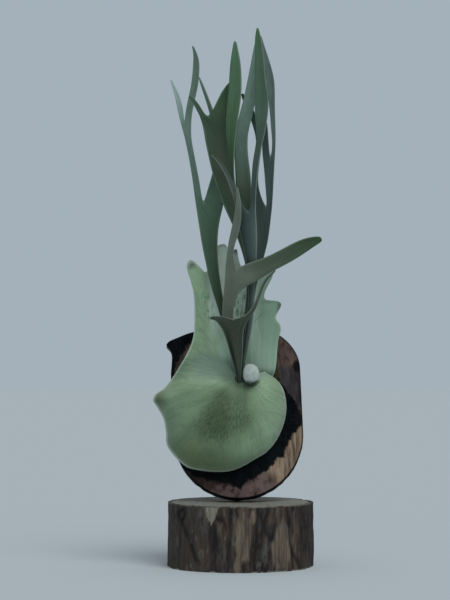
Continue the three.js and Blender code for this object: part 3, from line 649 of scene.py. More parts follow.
CROWN = Vector((0, 0, 227)) * MM
BALL_UNDER, BALL_UNDER_REACH = 3.6 * MM, 0.985
BALL_OFF_BOARD, BALL_LEAST = 0.3 * MM, 2 * MM
BALL_LUMPS = 1.1 * MM
BALL_STEPS = 132
BALL_RINGS = [1, 0.99, 0.975, 0.95, 0.92, 0.88, 0.83, 0.78, 0.72, 0.66, 0.6]
BALL_RINGS += [0.53, 0.46, 0.39, 0.32, 0.25, 0.18, 0.11, 0.05]
BALL_RIM = {1: 0.4, 0.99: 0.75, 0.975: 0.92}  # the rings that are lower, and their share of the full height
BALL_OUTLINE = [
    (46, 238), (36, 255), (20, 266), (0, 270), (-20, 268), (-38, 262), (-52, 252), (-64, 236), (-74, 219),
    (-82, 200), (-84, 180), (-83, 160), (-78, 142), (-64, 126), (-48, 120), (-29, 118), (-12, 119), (2, 124),
    (15, 132), (28, 141), (39, 154), (46, 170), (50, 187), (50, 205),
]
RIM_OFF_BOARD = 2.5 * MM
SHIELD_BULGE = 50 * MM
CROWN_DIMPLE, DIMPLE_REACH = 16 * MM, 0.3
POINTED_LOBE = Vector((-103, 0, 199)) * MM
LOBE_RISE, LOBE_WIDTH = 17 * MM, 22 * MM
STRANDS = 620
STRAND_RADIUS, STRAND_TIP = 0.35 * MM, 0.1 * MM
STRAND_LENGTHS = (4, 10)
# Where one shape passes over into another: from and to, along z or x.
UPRIGHT_Z = (212 * MM, 252 * MM)
OVER_RIGHT_Z, OVER_RIGHT_X = (193 * MM, 222 * MM), (5 * MM, 28 * MM)
UNDER_RIGHT_Z, UNDER_RIGHT_X = (205 * MM, 219 * MM), (-22 * MM, -10 * MM)
BOW = 2


def right_shield_y(x, z):
    return -10 * MM - 0.11 * (z - CROWN.z) - BOW * (x - 10 * MM) ** 2


def upright_y(x, z):
    return -15 * MM - 0.12 * (z - CROWN.z) - BOW * (x + 15 * MM) ** 2


def main_shield_y(x, z, reach):
    """How far forward the main shield stands: a dish over the moss, then an upright blade above it."""
    over_right = smoothstep(*OVER_RIGHT_Z, z) * smoothstep(*OVER_RIGHT_X, x)
    rim = lerp(face_y(z), right_shield_y(x, z) - MM, over_right) - RIM_OFF_BOARD
    top = face_y(z) - RIM_OFF_BOARD - SHIELD_BULGE
    dish = lerp(rim, top, (1 - min(reach, 1) ** 2.5) ** 0.6)
    dimple = CROWN_DIMPLE * hump(reach, DIMPLE_REACH)
    lobe = LOBE_RISE * hump(math.hypot(x - POINTED_LOBE.x, z - POINTED_LOBE.z), LOBE_WIDTH)
    return lerp(dish + dimple - lobe, upright_y(x, z), smoothstep(*UPRIGHT_Z, z))


def ball_y(x, z, reach):
    """How far forward the moss stands, close under the main shield or under the right one."""
    under = main_shield_y(x, z, reach * BALL_UNDER_REACH)
    right = smoothstep(*UNDER_RIGHT_Z, z) * smoothstep(*UNDER_RIGHT_X, x)
    cover = lerp(under, max(under, right_shield_y(x, z)), right)
    return min(cover + BALL_UNDER, face_y(z) - BALL_LEAST)


moss, tree, shader = new_material("dry_moss", 0.95, Specular_IOR_Level=0.15)
spot = object_spot(tree)
dead = streaked(spot, 650, 0.5, (0.12, 0.09, 0.055), (0.03, 0.021, 0.013))
green = streaked(spot, 600, 0.6, (0.09, 0.1, 0.045), (0.022, 0.028, 0.011))
clumps = cloud(spot, 75, 3)
colour = mixed(spread(clumps, 0.5, 0.62), dead["Colour"], green["Colour"])
# Dark patches: painted shade, as if in hollows of the moss.
hollow_shade = spread(cloud(spot, 190, 2), 0.47, 0.34)
painted(shader, stained(colour, (hollow_shade, 0.8, (0.018, 0.013, 0.01))))
bumped(shader, plus(clumps, times(dead["Height"], 0.7)), 3 * MM, 0.9)


def clumped(co, shrink, share):
    x, z = lerp(CROWN.x, co.x, shrink), lerp(CROWN.z, co.z, shrink)
    lumps = noise.noise(Vector((x, 0, z)) * 110) + 0.6 * noise.noise(Vector((x, 0, z)) * 320)
    y = lerp(face_y(z) - BALL_OFF_BOARD, ball_y(x, z, share), BALL_RIM.get(share, 1))
    return Vector((x, y + BALL_LUMPS * lumps, z))


bm = bmesh.new()
closed = BALL_OUTLINE + BALL_OUTLINE[:3]
shares = [(1 + len(BALL_OUTLINE) * k / BALL_STEPS) / (len(closed) - 1) for k in range(BALL_STEPS)]
flat = [MM * curve_through(closed, share) for share in shares]
edges = chained(bm, [(x, face_y(z) - BALL_OFF_BOARD, z) for x, z in flat])
bmesh.ops.contextual_create(bm, geom=ringed(bm, edges, BALL_RINGS, clumped))
bmesh.ops.contextual_create(bm, geom=edges)
bmesh.ops.recalc_face_normals(bm, faces=bm.faces)
draw = random.Random(5)
roots = [corner.co.copy() for corner in bm.verts][BALL_STEPS:]
for _ in range(STRANDS):
    root = draw.choice(roots)
    away = Vector((root.x - CROWN.x, 0, root.z - CROWN.z)).normalized()
    away += 0.9 * Vector((draw.uniform(-1, 1), draw.uniform(-0.25, 0.5), draw.uniform(-1, 1)))
    lie = away.to_track_quat("Z", "Y").to_matrix().to_4x4()
    bmesh.ops.create_cone(
        bm, cap_ends=True, segments=3, radius1=STRAND_RADIUS, radius2=STRAND_TIP,
        depth=draw.uniform(*STRAND_LENGTHS) * MM, matrix=Matrix.Translation(root) @ lie,
    )
ball = finished("moss_ball", bm, moss)
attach(ball, "root")
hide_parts("root_ball")


# Rhizome. The short thick stem from which every frond grows, sunk in the moss. Brown papery scales
# cover it and point forwards to its growing tip.

KNOB_CENTRE = Vector((2, -19, 226)) * MM
KNOB_HALF = Vector((13, 14, 9)) * MM
KNOB_SHARE, KNOB_LUMPS = 0.68, 0.06
SCALES = 260
SCALE_RADIUS, SCALE_TIP, SCALE_LENGTH = 1.3 * MM, 0.15 * MM, 4 * MM
SCALE_FLATNESS = 0.25
GROWING_TO = Vector((0, -0.8, 0.25))

scaly, tree, shader = new_material("rhizome_scales", 0.85, Specular_IOR_Level=0.2)
papery = streaked(object_spot(tree), 1500, 0.6, (0.05, 0.042, 0.03), (0.015, 0.012, 0.009))
painted(shader, papery["Colour"])
bumped(shader, papery["Height"], 0.5 * MM)

bm = bmesh.new()
bmesh.ops.create_uvsphere(bm, u_segments=40, v_segments=24, radius=1)
for corner in bm.verts:
    lump = KNOB_SHARE + KNOB_LUMPS * noise.noise(corner.co * 3)
    corner.co = KNOB_CENTRE + corner.co * KNOB_HALF * lump
draw = random.Random(9)
for _ in range(SCALES):
    turn, lift = draw.uniform(0, 2 * math.pi), draw.uniform(-0.9, 0.9)
    outwards = Vector((math.cos(turn) * math.cos(lift), math.sin(turn) * math.cos(lift), math.sin(lift)))
    at = KNOB_CENTRE + outwards * KNOB_HALF * KNOB_SHARE
    point = (outwards * 0.55 + GROWING_TO).normalized()
    flat = point.cross(outwards).normalized()
    facing = Matrix((flat, flat.cross(point), point)).transposed().to_4x4()
    bmesh.ops.create_cone(
        bm, cap_ends=True, segments=6, radius1=SCALE_RADIUS, radius2=SCALE_TIP, depth=SCALE_LENGTH,
        matrix=Matrix.Translation(at) @ facing @ Matrix.Diagonal((1, SCALE_FLATNESS, 1, 1)),
    )
rhizome = finished("scaly_rhizome", bm, scaly)
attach(rhizome, "root")
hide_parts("rhizome")


# Main shield frond. One big kidney-shaped sheet of living leaf, thin and stiff, that grows flat over
# the moss and holds it. Veins fan out in it from the crown. Two lobes stand up free behind the fronds.

SHIELD_THICKNESS = 1.6 * MM
SHIELD_RIPPLES, FINE_RIPPLES = 0.7 * MM, 0.35
FELTED_THINNER = 0.6
MAIN_OUTLINE = [
    # x and z from the middle lobe round by the left to the right, in millimetres
    (-4, 259), (-7, 295), (-11, 345), (-12, 372), (-18, 385), (-27, 383), (-34, 369), (-41, 352), (-49, 359),
    (-59, 366), (-63, 359), (-59, 343), (-55, 325), (-55, 281), (-58, 267), (-64, 254), (-72, 239),
    (-80, 226), (-90, 213), (-101, 205), (-103, 199), (-99, 192), (-91, 177), (-88, 160), (-87, 146),
    (-80, 135), (-64, 120), (-50, 116), (-29, 114), (-12, 115), (2, 120), (16, 128), (31, 137), (43, 151),
    (51, 168), (55, 187), (54, 201), (50, 214), (42, 224), (29, 233),
]
MAIN_STEPS = 9
MAIN_RINGS = [0.993, 0.98] + [1 - k / 42 for k in range(2, 41)]
FELT_MOSTLY, FELT_LEAST = 0.56, 0.03
FELT_AND_LIGHT_PATCHES = [
    # an oval like those on the bark, and how much thicker the felt is there, which makes it paler; some
    # ovals paint light and shade instead, such as the painted shadow under the bud and painted light on
    # lobes that the fronds shade
    (-24, 180, 22, 24, -0.52), (-20, 208, 12, 12, -0.25), (-42, 165, 22, 24, -0.22),
    (-80, 150, 22, 30, -0.2), (28, 190, 18, 30, 0.13), (10, 145, 26, 18, 0.31), (-30, 128, 26, 14, -0.34),
    (-62, 130, 22, 16, -0.5), (-18, 258, 12, 26, 0.59), (-26, 300, 10, 34, 0.7), (-46, 320, 12, 30, 0.24),
    (-50, 350, 12, 14, 0.62), (-50, 270, 16, 24, 0.19), (0, 300, 12, 24, 0.12), (20, 300, 16, 30, 0.33),
    (38, 300, 14, 24, 0.6), (22, 245, 20, 24, 0.65), (2, 345, 12, 20, 0.18), (-12, 360, 12, 14, 0.87),
    (-98, 200, 10, 10, -0.52), (5, 175, 12, 25, -0.28), (-2, 314, 9, 30, 0.5), (4, 203, 10, 10, -0.2),
    (11, 217, 9, 3.5, -0.5), (-46, 226, 24, 8, 0.3), (-21, 372, 16, 18, 0.8), (12, 352, 14, 16, 0.5),
    (-26, 224, 14, 9, 0.25), (-60, 187, 20, 12, 0.09), (-14, 154, 16, 14, -0.16), (17, 180, 10, 10, -0.1),
    (37, 157, 10, 14, 0.16), (20, 137, 14, 9, 0.14), (-44, 338, 8, 16, 0.35), (-22, 196, 14, 10, -0.06),
    (34, 205, 14, 12, 0.12),
]


def felt_and_light_at(at):
    """How thick the felt is on a shield, from 0 to 1, by where it was rubbed off and where it was not, and
    where painted light or shade makes it paler or darker.
    """
    more = sum(more * hump(from_oval(at.x, at.z, oval), 1) for *oval, more in FELT_AND_LIGHT_PATCHES)
    return min(max(FELT_MOSTLY + more, FELT_LEAST), 1)


# Felt is the layer of fine pale hairs on every frond.
felt, given, out = new_effect(
    "Felt",
    [
        ("Spot", VECTOR, (0, 0, 0)), ("Leaf", COLOUR, (0.1, 0.2, 0.1, 1)), ("Hairs", COLOUR, (1, 1, 1, 1)),
        ("Amount", FLOAT, 0.3),
    ],
    [("Colour", COLOUR), ("Height", FLOAT)],
)
patches = spread(cloud(given["Spot"], 32, 3), 0.36, 0.66)
hairs = spread(cloud(given["Spot"], 1300, 2, 0.7), 0.35, 0.7)
thick = plus(0.78, plus(times(patches, 0.18), times(hairs, 0.26)))
led(mixed(times(given["Amount"], thick), given["Leaf"], given["Hairs"]), out["Colour"])
led(plus(hairs, times(patches, 0.5)), out["Height"])


def felted(spot, leaf, hairs, amount):
    inputs = {"Spot": spot, "Leaf": leaf, "Hairs": hairs, "Amount": amount}
    return placed("ShaderNodeGroup", inputs, node_tree=felt).outputs


# Veins run along the growth of a leaf, and fork as they spread out.
veins, given, out = new_effect(
    "Veins", [("Growth", VECTOR, (0, 0, 0)), ("Across", FLOAT, 40), ("Along", FLOAT, 2)], [("Veins", FLOAT)]
)
axes = placed("ShaderNodeCombineXYZ", {0: given["Across"], 1: given["Along"], 2: 0}).outputs[0]
run = placed("ShaderNodeVectorMath", {0: given["Growth"], 1: axes}, operation="MULTIPLY").outputs[0]
off = maths("ABSOLUTE", maths("SUBTRACT", cloud(run, 1, 2, 0.6, 0.3), 0.5))
led(spread(off, 0.05, 0), out["Veins"])


def veined(growth, across, along):
    inputs = {"Growth": growth, "Across": across, "Along": along}
    return placed("ShaderNodeGroup", inputs, node_tree=veins).outputs[0]


def between(value, low, high, soft):
    """A mask that is 1 from low to high and fades over twice the soft edge, all in millimetres."""
    rising = spread(value, (low - soft) * MM, (low + soft) * MM)
    return times(rising, spread(value, (high + soft) * MM, (high - soft) * MM))


def oval(spot, middle, half):
    """How far a spot is from the middle of an oval seen from the front, in mm, where its edge is at 1."""
    (x, z), (width, height) = middle, half
    scale = (1 / (width * MM), 0, 1 / (height * MM))
    return length_of(scaled(spot, scale, Location=(-x / width, 0, -z / height)))


shield, tree, shader = new_material(
    "shield_leaf", 0.62, Specular_IOR_Level=0.35, Sheen_Weight=0.25, Sheen_Roughness=0.5
)
spot = object_spot(tree)
at = parts_of(spot)
growth = attribute(tree, "growth")["Vector"]
share = parts_of(growth)
hairy = attribute(tree, "felt_and_light")["Fac"]
lines = plus(times(veined(growth, 70, 2.2), 0.3), times(veined(growth, 26, 1.2), 0.35))
worn = times(spread(hairy, 0.5, 0.12), spread(share["Y"], 0.85, 0.6))
dashes = times(spread(cloud(scaled(growth, (420, 20, 0)), 1, 2), 0.44, 0.62), plus(worn, 0.1))
leaf = stained((0.075, 0.13, 0.055), (lines, 0.5, (0.04, 0.075, 0.035)))
coat = felted(spot, leaf, (0.4, 0.6, 0.385), times(hairy, spread(lines, 0, 0.6, 1, 0.82)))
# Painted shadow of the fronds across the dip above the crown.
frond_shadow = zoned(at, ("Z", 219, 231), ("Z", 262, 246), ("X", -75, -40))
lit = zoned(at, ("X", 8, 24), ("Z", 290, 240), ("Z", 231, 239))
lit = plus(lit, spread(oval(spot, (-17, 261), (10, 14)), 1.3, 0.5))
ochre = times(spread(cloud(spot, 28, 2), 0.42, 0.6), zoned(at, ("Z", 180, 150)))
# Painted light on the upper lobes, as if light shone through them from behind.
high = zoned(at, ("X", -42, -32), ("X", 26, 12), ("Z", 250, 322))
slanting = plus(at["X"], times(at["Z"], 0.26))
rubbed = times(between(slanting, 38, 48.5, 2), between(at["Z"], 290, 336, 6))
# Painted light where the shield shows through a gap between the fronds.
behind = spread(plus(oval(spot, (0.5, 316), (9.5, 25)), cloud(spot, 240, 2)), 1.75, 1.2)
streaks = spread(cloud(scaled(spot, (520, 0, 110)), 1, 2), 0.5, 0.6)
# Painted shade along a crease in the right shield.
crease_shade = between(maths("SUBTRACT", at["Z"], times(at["X"], 1.04)), 274.4, 276.3, 1.4)
tips = reduce(plus, [
    zoned(at, ("Z", 380, 387)),
    zoned(at, ("X", 41.5, 48.5), ("Z", 300, 307)),
    zoned(at, ("X", -10.5, -8), ("Z", 370, 378)),
    zoned(at, ("Z", 353, 362), ("X", -49, -56)),
])
# Painted shadow in a crescent under the bud.
bud_shadow = times(spread(oval(spot, (13, 231.2), (11, 13)), 1.25, 1.12), zoned(at, ("Z", 226, 221.5)))
painted(shader, stained(
    coat["Colour"],
    (dashes, 0.7, (0.03, 0.055, 0.03)),
    (frond_shadow, 0.6, (0.22, 0.33, 0.29)),
    (zoned(at, ("X", -4, 10), ("Z", 232, 245)), 0.5, (0.37, 0.6, 0.47)),
    (lit, 0.5, (0.66, 0.95, 0.75)),
    (ochre, 0.4, (0.24, 0.32, 0.15)),
    (high, 0.88, (0.8, 0.97, 0.86)),
    (behind, 0.85, (0.78, 1, 0.85)),
    (times(plus(rubbed, behind), streaks), 0.65, (0.08, 0.31, 0.16)),
    (times(crease_shade, between(at["X"], 16.5, 28.5, 3)), 0.5, (0.1, 0.27, 0.14)),
    (times(tips, plus(0.35, cloud(spot, 90, 3))), 1, (0.12, 0.14, 0.12)),
    (spread(share["Z"], 0.968, 0.988), 0.55, (0.62, 0.78, 0.62)),
    (bud_shadow, 0.7, (0.025, 0.05, 0.03)),
))
bumped(shader, plus(times(lines, -1.4), times(coat["Height"], 0.3)), 0.5 * MM, 0.8)


def sheet(name, bm, thickness, *materials):
    """A leaf from its middle surface: smoothed, then given its thickness, which is less under thick felt.

    The shapes were set with each corner taking the felt of the corner two further on, so that stays.
    """
    piece = finished(name, bm, *materials)
    thin = piece.vertex_groups.new(name="thickness")
    coat = [corner.value for corner in piece.data.attributes["felt_and_light"].data]
    for i, covered in enumerate([1, *coat[3:], coat[-1], coat[-1]]):
        thin.add([i], 1 - FELTED_THINNER * smoothstep(0.9, 1, covered), "REPLACE")
    wall = piece.modifiers.new("thickness", "SOLIDIFY")
    wall.thickness = thickness
    wall.offset = 0
    wall.vertex_group = "thickness"
    return piece


bm = bmesh.new()
growth = bm.verts.layers.float_vector.new("growth")
felt_and_light = bm.verts.layers.float.new("felt_and_light")


def grows_at(corner, reach):
    turn = math.atan2(CROWN.x - corner.co.x, corner.co.z - CROWN.z) % (2 * math.pi)
    corner[growth] = (turn / (2 * math.pi), reach, reach)
    corner[felt_and_light] = felt_and_light_at(corner.co)


def rippled(co, shrink, share):
    x, z = lerp(CROWN.x, co.x, shrink), lerp(CROWN.z, co.z, shrink)
    turn = math.atan2(x, z - CROWN.z)
    ripple = noise.noise(Vector((turn * 9, share * 2.5, 0))) * smoothstep(0.15, 0.6, share)
    ripple += FINE_RIPPLES * noise.noise(Vector((turn * 26, share * 3, 4))) * smoothstep(0.2, 0.7, share)
    return Vector((x, main_shield_y(x, z, share) + SHIELD_RIPPLES * ripple, z))


steps = (len(MAIN_OUTLINE) - 1) * MAIN_STEPS
flat = [MM * curve_through(MAIN_OUTLINE, k / steps) for k in range(steps + 1)]
edges = chained(bm, [(x, main_shield_y(x, z, 1), z) for x, z in flat], closed=False)
for corner in bm.verts:
    grows_at(corner, 1)
ringed(bm, edges, MAIN_RINGS, rippled, grows_at)
bmesh.ops.recalc_face_normals(bm, faces=bm.faces)
main_shield = sheet("main_shield_leaf", bm, SHIELD_THICKNESS, shield)
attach(main_shield, "root")
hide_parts("shield_frond_main")


# Right shield frond. An older shield that rises behind the main one and the fronds, with a lobed right
# edge. It is a single stiff sheet of leaf, held at its foot by the rhizome.

RIGHT_SHIELD_COLUMNS = 6
RIGHT_SHIELD_CUP = 0.05
RIGHT_EDGES = [
    # left edge x and z, right edge x and z, in millimetres, from the foot up
    (3, 222, 24, 221), (1, 227, 40, 224), (0, 231, 43, 240), (-1, 238, 44, 257), (-3, 250, 45, 274),
    (-4, 262, 50, 284), (-6, 274, 47, 292), (-7, 281, 41, 297), (-8, 289, 45, 305), (-8, 297, 51, 314),
    (-9, 303, 46, 318), (-9, 309, 37, 318.5), (-10, 314, 29, 319), (-10, 320, 28, 326), (-11, 328, 34, 338),
    (-11, 337, 42, 352), (-11, 345, 33, 354), (-11, 352, 16, 353), (-11, 361, 3, 355), (-11, 370, -1.5, 364),
    (-9, 378, -3.5, 380),
]


def full_rung(rung):
    """The spots of a rung, x y z each: its left edge, its right edge, and a fork's notch between them.

    A rung of four numbers has the x of both edges, and then the y and z that they share.
    """
    if len(rung) > 4:
        return rung
    left, right, y, z = rung
    return left, y, z, right, y, z


def blade_spots(rung, columns, split, growing, cup):
    """The spots across a blade at one rung, from its left edge to its right, each with its share of the way.

    A cupped blade is a channel, open to the front. Where a rung has a notch, each side of it is a blade.
    """
    left, right = Vector(rung[:3]) * MM, Vector(rung[-3:]) * MM
    inwards = growing.cross(right - left).normalized()
    spots = []
    for c in range(columns + 1):
        share = c / columns
        if len(rung) == 9 and c <= split:
            share = c / split
            at = left.lerp(Vector(rung[3:6]) * MM, share)
        elif len(rung) == 9:
            share = (c - split) / (columns - split)
            at = (Vector(rung[3:6]) * MM).lerp(right, share)
        else:
            at = left.lerp(right, share) + inwards * cup * (right - left).length * 4 * share * (1 - share)
        spots.append((at, share))
    return spots


def columns_of(blades, path):
    """How many columns wide a blade is: as wide as its two prongs together, or two without prongs."""
    if path + "0" in blades:
        return columns_of(blades, path + "0") + columns_of(blades, path + "1")
    return blades[path].get("columns", 2)


def middle_of(rung):
    return (Vector(rung[:3]) + Vector(rung[-3:])) / 2


def grown(bm, layers, blades, cup, path="", row=None, below=None, length=0, tone=(0.1, 0, 0)):
    """Grows a blade rung by rung from a row of corners, and then each of its prongs from its share."""
    growth, tones = layers
    blade, forked, columns = blades[path], path + "0" in blades, columns_of(blades, path)
    split = columns_of(blades, path + "0") if forked else 0
    rungs = [full_rung(rung) for rung in blade["rungs"]]
    foot_tone, tip_tone = Vector(blade.get("foot", tone)), Vector(blade.get("tone", tone))
    right_felt, ramp = blade.get("right_felt", 0), blade.get("ramp", 0.6)
    for i, rung in enumerate(rungs):
        before = middle_of(rungs[i - 1]) if i else below or middle_of(rung)
        after = middle_of(rungs[min(i + 1, len(rungs) - 1)])
        length += (middle_of(rung) - before).length
        spots = blade_spots(rung, columns, split, after - before, cup)
        if row is None:
            chained(bm, [at for at, _ in spots], closed=False)
            row = list(bm.verts)
        else:
            edges = [bm.edges.get(pair) for pair in zip(row, row[1:])]
            made = bmesh.ops.extrude_edge_only(bm, edges=edges)["geom"]
            new = {g for g in made if isinstance(g, bmesh.types.BMVert)}
            row = [next(e.other_vert(v) for e in v.link_edges if e.other_vert(v) in new) for v in row]
        for c, (corner, (at, share)) in enumerate(zip(row, spots)):
            corner.co = at
            corner[growth] = (share, length * MM, abs(2 * share - 1))
            corner[tones] = foot_tone.lerp(tip_tone, ((i + 1) / len(rungs)) ** ramp)
            corner[tones].x += right_felt * (c / columns - 0.5)
    if forked:
        last = middle_of(rungs[-1])
        grown(bm, layers, blades, cup, path + "0", row[: split + 1], last, length, tip_tone)
        grown(bm, layers, blades, cup, path + "1", row[split:], last, length, tip_tone)
    else:
        for corner in row:
            corner[growth] = (corner[growth][0], length * MM, 1)


def blade_leaf(name, blades, cup, thickness, *materials):
    """The whole leaf of a blade: its net of corners, smoothed, with its thickness."""
    bm = bmesh.new()
    layers = [bm.verts.layers.float_vector.new(layer) for layer in ("growth", "tones")]
    felt_and_light = bm.verts.layers.float.new("felt_and_light")
    grown(bm, layers, blades, cup)
    for corner in bm.verts:
        corner[felt_and_light] = felt_and_light_at(corner.co)
    bmesh.ops.recalc_face_normals(bm, faces=bm.faces)
    if sum((face.normal.y * face.calc_area() for face in bm.faces), 0) > 0:
        bmesh.ops.reverse_faces(bm, faces=bm.faces)
    piece = sheet(name, bm, thickness, *materials)
    even = piece.modifiers.new("evened", "SUBSURF")
    even.levels = even.render_levels = 2
    piece.modifiers.move(1, 0)
    return piece


rungs = [
    (x, right_shield_y(x * MM, z * MM) / MM, z, u, right_shield_y(u * MM, w * MM) / MM, w)
    for x, z, u, w in RIGHT_EDGES
]
right_shield = blade_leaf(
    "right_shield_leaf", {"": {"columns": RIGHT_SHIELD_COLUMNS, "rungs": rungs}}, RIGHT_SHIELD_CUP,
    SHIELD_THICKNESS, shield,
)
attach(right_shield, "root")
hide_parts("shield_frond_right")


# Young shield frond. A round button of white felt to the right of the crown, the next shield, which is
# only now opening. A fold runs down its left side, where it unrolls.

BUD_CENTRE = Vector((13, -38.5, 231.8)) * MM
BUD_HALF = Vector((9.5, 8, 11.4)) * MM
BUD_SQUARENESS = 2.2
BUD_TAPER, BUD_LUMPS = 0.12, 0.05
FOLD_X, FOLD_WIDTH, FOLD_DEPTH = -0.62, 0.2, 0.08
CREASE_X, CREASE_WIDTH, CREASE_DEPTH, CREASE_SLANT = -0.5, 0.07, 0.12, 0.35

white_felt, tree, shader = new_material(
    "white_felt", 0.95, Specular_IOR_Level=0.1, Sheen_Weight=0.5, Sheen_Roughness=0.6
)
spot = object_spot(tree)
# Its lowest rim is dark olive: partly the underside's own greener colour, partly painted shade beneath the
# button.
low = plus(parts_of(spot)["Z"], times(cloud(spot, 170, 2), 0.004))
coat = felted(spot, (0.38, 0.5, 0.43), (0.74, 0.88, 0.83), 0.85)
thin = spread(cloud(spot, 200, 2), 0.4, 0.6, 0, 0.35)
colour = mixed(thin, coat["Colour"], (0.4, 0.53, 0.46))
painted(shader, mixed(spread(low, 0.2265, 0.223), colour, (0.06, 0.09, 0.07)))
bumped(shader, coat["Height"], 0.5 * MM)

bm = bmesh.new()
bmesh.ops.create_uvsphere(bm, u_segments=48, v_segments=32, radius=1)
for corner in bm.verts:
    x, y, z = corner.co / sum(abs(side) ** BUD_SQUARENESS for side in corner.co) ** (1 / BUD_SQUARENESS)
    sunk = FOLD_DEPTH * hump(x - FOLD_X, FOLD_WIDTH)
    sunk += CREASE_DEPTH * hump(x - CREASE_X - CREASE_SLANT * z, CREASE_WIDTH)
    lump = 1 + BUD_LUMPS * noise.noise(corner.co * 3)
    corner.co = (x * lump, (y + sunk * max(0, -y)) * lump, z * (1 - BUD_TAPER * x) * lump)
    corner.co = BUD_CENTRE + corner.co * BUD_HALF
button = finished("young_shield_button", bm, white_felt)
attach(button, "root")
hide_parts("young_shield")


# Antler fronds. Six leathery strap-like leaves that rise from the rhizome and fork like antlers, in
# grey-green felt, paler at their margins and underneath. Each is one sheet, a channel at its foot.

FROND_THICKNESS = 1.3 * MM


def antler_material(name, leaf, hairs):
    material, tree, shader = new_material(
        name, 0.78, Specular_IOR_Level=0.2, Sheen_Weight=0.1, Sheen_Roughness=0.45
    )
    growth = attribute(tree, "growth")["Vector"]
    share = parts_of(growth)
    coat, fresh, brown = parts_of(attribute(tree, "tones")["Vector"])
    lines = veined(growth, 7, 9)
    # Painted shade on the left side of each frond's foot, where the fronds crowd at the crown; the felt is
    # left off there too.
    foot_shade = times(spread(share["X"], 0.5, 0.12), spread(share["Y"], 0.1, 0.035))
    leaf = stained(
        leaf,
        (fresh, 1, (0.07, 0.19, 0.06)),
        (times(brown, spread(share["Z"], 0.8, 0.2)), 1, (0.085, 0.075, 0.055)),
        (lines, 0.3, (0.025, 0.045, 0.025)),
        (foot_shade, 1, (0.008, 0.016, 0.01)),
    )
    hairy = felted(object_spot(tree), leaf, hairs, times(coat, spread(foot_shade, 0, 0.8, 1, 0)))
    margin = spread(maths("ABSOLUTE", maths("SUBTRACT", share["X"], 0.5)), 0.43, 0.49)
    woolly, pale = (spread(coat, 1, 2), 1, (0.56, 0.74, 0.72)), (margin, 0.38, (0.36, 0.44, 0.38))
    painted(shader, stained(hairy["Colour"], woolly, pale))
    bumped(shader, plus(times(lines, -0.8), times(hairy["Height"], 0.5)), 0.35 * MM, 0.8)
    return material


grey_haired = antler_material("antler_grey_haired", (0.045, 0.07, 0.042), (0.27, 0.315, 0.26))
green_haired = antler_material("antler_green_haired", (0.045, 0.075, 0.043), (0.3, 0.46, 0.39))
blue_haired = antler_material("antler_blue_haired", (0.03, 0.056, 0.05), (0.23, 0.33, 0.305))

# The blades of each frond: "" is its stalk, "0" and "1" are its left and right prongs, "01" is the right
# prong of the left prong, and so on. Rungs are in millimetres, as full_rung takes them. The tone is how
# felted, how fresh a green and how brown the leaf is at the blade's end, where felted above 1 is woolly
# and pale. It changes from the foot's tone, which is that of the blade below unless given, and changes
# late where the ramp is above 1. right_felt is how much more felted the right edge is than the left one.
LEFT_FROND = {
    "": {"tone": (0.3, 0.4, 0), "foot": (0, 0, 0), "ramp": 3.2, "right_felt": -0.1, "rungs": [
        (-4, 1, -18, 222), (-6, 0, -24, 233), (-11, -4, -27, 252), (-16, -8, -30, 271),
        (-21, -12, -33, 289), (-25, -17, -35, 306), (-31, -21, -38, 323), (-37, -24, -41, 344),
        (-40, -26, -43, 360), (-44, -27, -45, 378), (-47, -47, 396.5, -27, -48, 396.5),
        (-50, -49, 416.5, -24, -51, 416.5), (-53, -51, 434.5, -44, -51, 427.5, -19, -54, 432.5),
    ]},
    "0": {"tone": (0.66, 0.1, 0), "ramp": 0.35, "rungs": [
        (-55, -53, 452.5, -47, -53, 451.5), (-58, -55, 473.5, -51, -55, 472.5),
        (-62, -57, 495, -55, -57, 493), (-65, -58, -58, 509),
        (-68.5, -59, 522, -66, -59, 526, -58, -59, 524),
    ]},
    "00": {"tone": (1.9, 0, 0), "rungs": [
        (-71.5, -61, 533, -66.5, -61, 539), (-74.5, -63, 547.5, -69.5, -63, 553.5),
        (-77.5, -65, 562.5, -74.5, -65, 565.5), (-82.5, -67, 576.5, -80.5, -67, 577.5),
    ]},
    "01": {"tone": (0.36, 0.2, 0.4), "rungs": [
        (-64.5, -57, -61, 539), (-62, -54, -62, 552.5), (-58, -50, -63, 568.5), (-56, -48, -64, 585.5),
        (-55, -48, -65, 599.5), (-55, -66, 609.5, -51, -66, 608.5), (-57, -55, -67, 617),
    ]},
    "1": {"tone": (0.6, 0.2, 0), "ramp": 1.6, "rungs": [
        (-38, -55, 451.5, -19, -57, 450.5), (-33, -57, 465.5, -18, -59, 464),
        (-30, -59, 483, -18, -61, 480), (-30, -61, 499, -21, -63, 497), (-32, -62, 515, -24, -65, 514),
        (-35, -64, 535, -30, -67, 536.5), (-40, -66, 552.5, -37, -69, 554.5),
        (-45, -68, 567.5, -43, -71, 569.5), (-49, -70, 579.5, -48, -71, 580.5),
    ]},
}
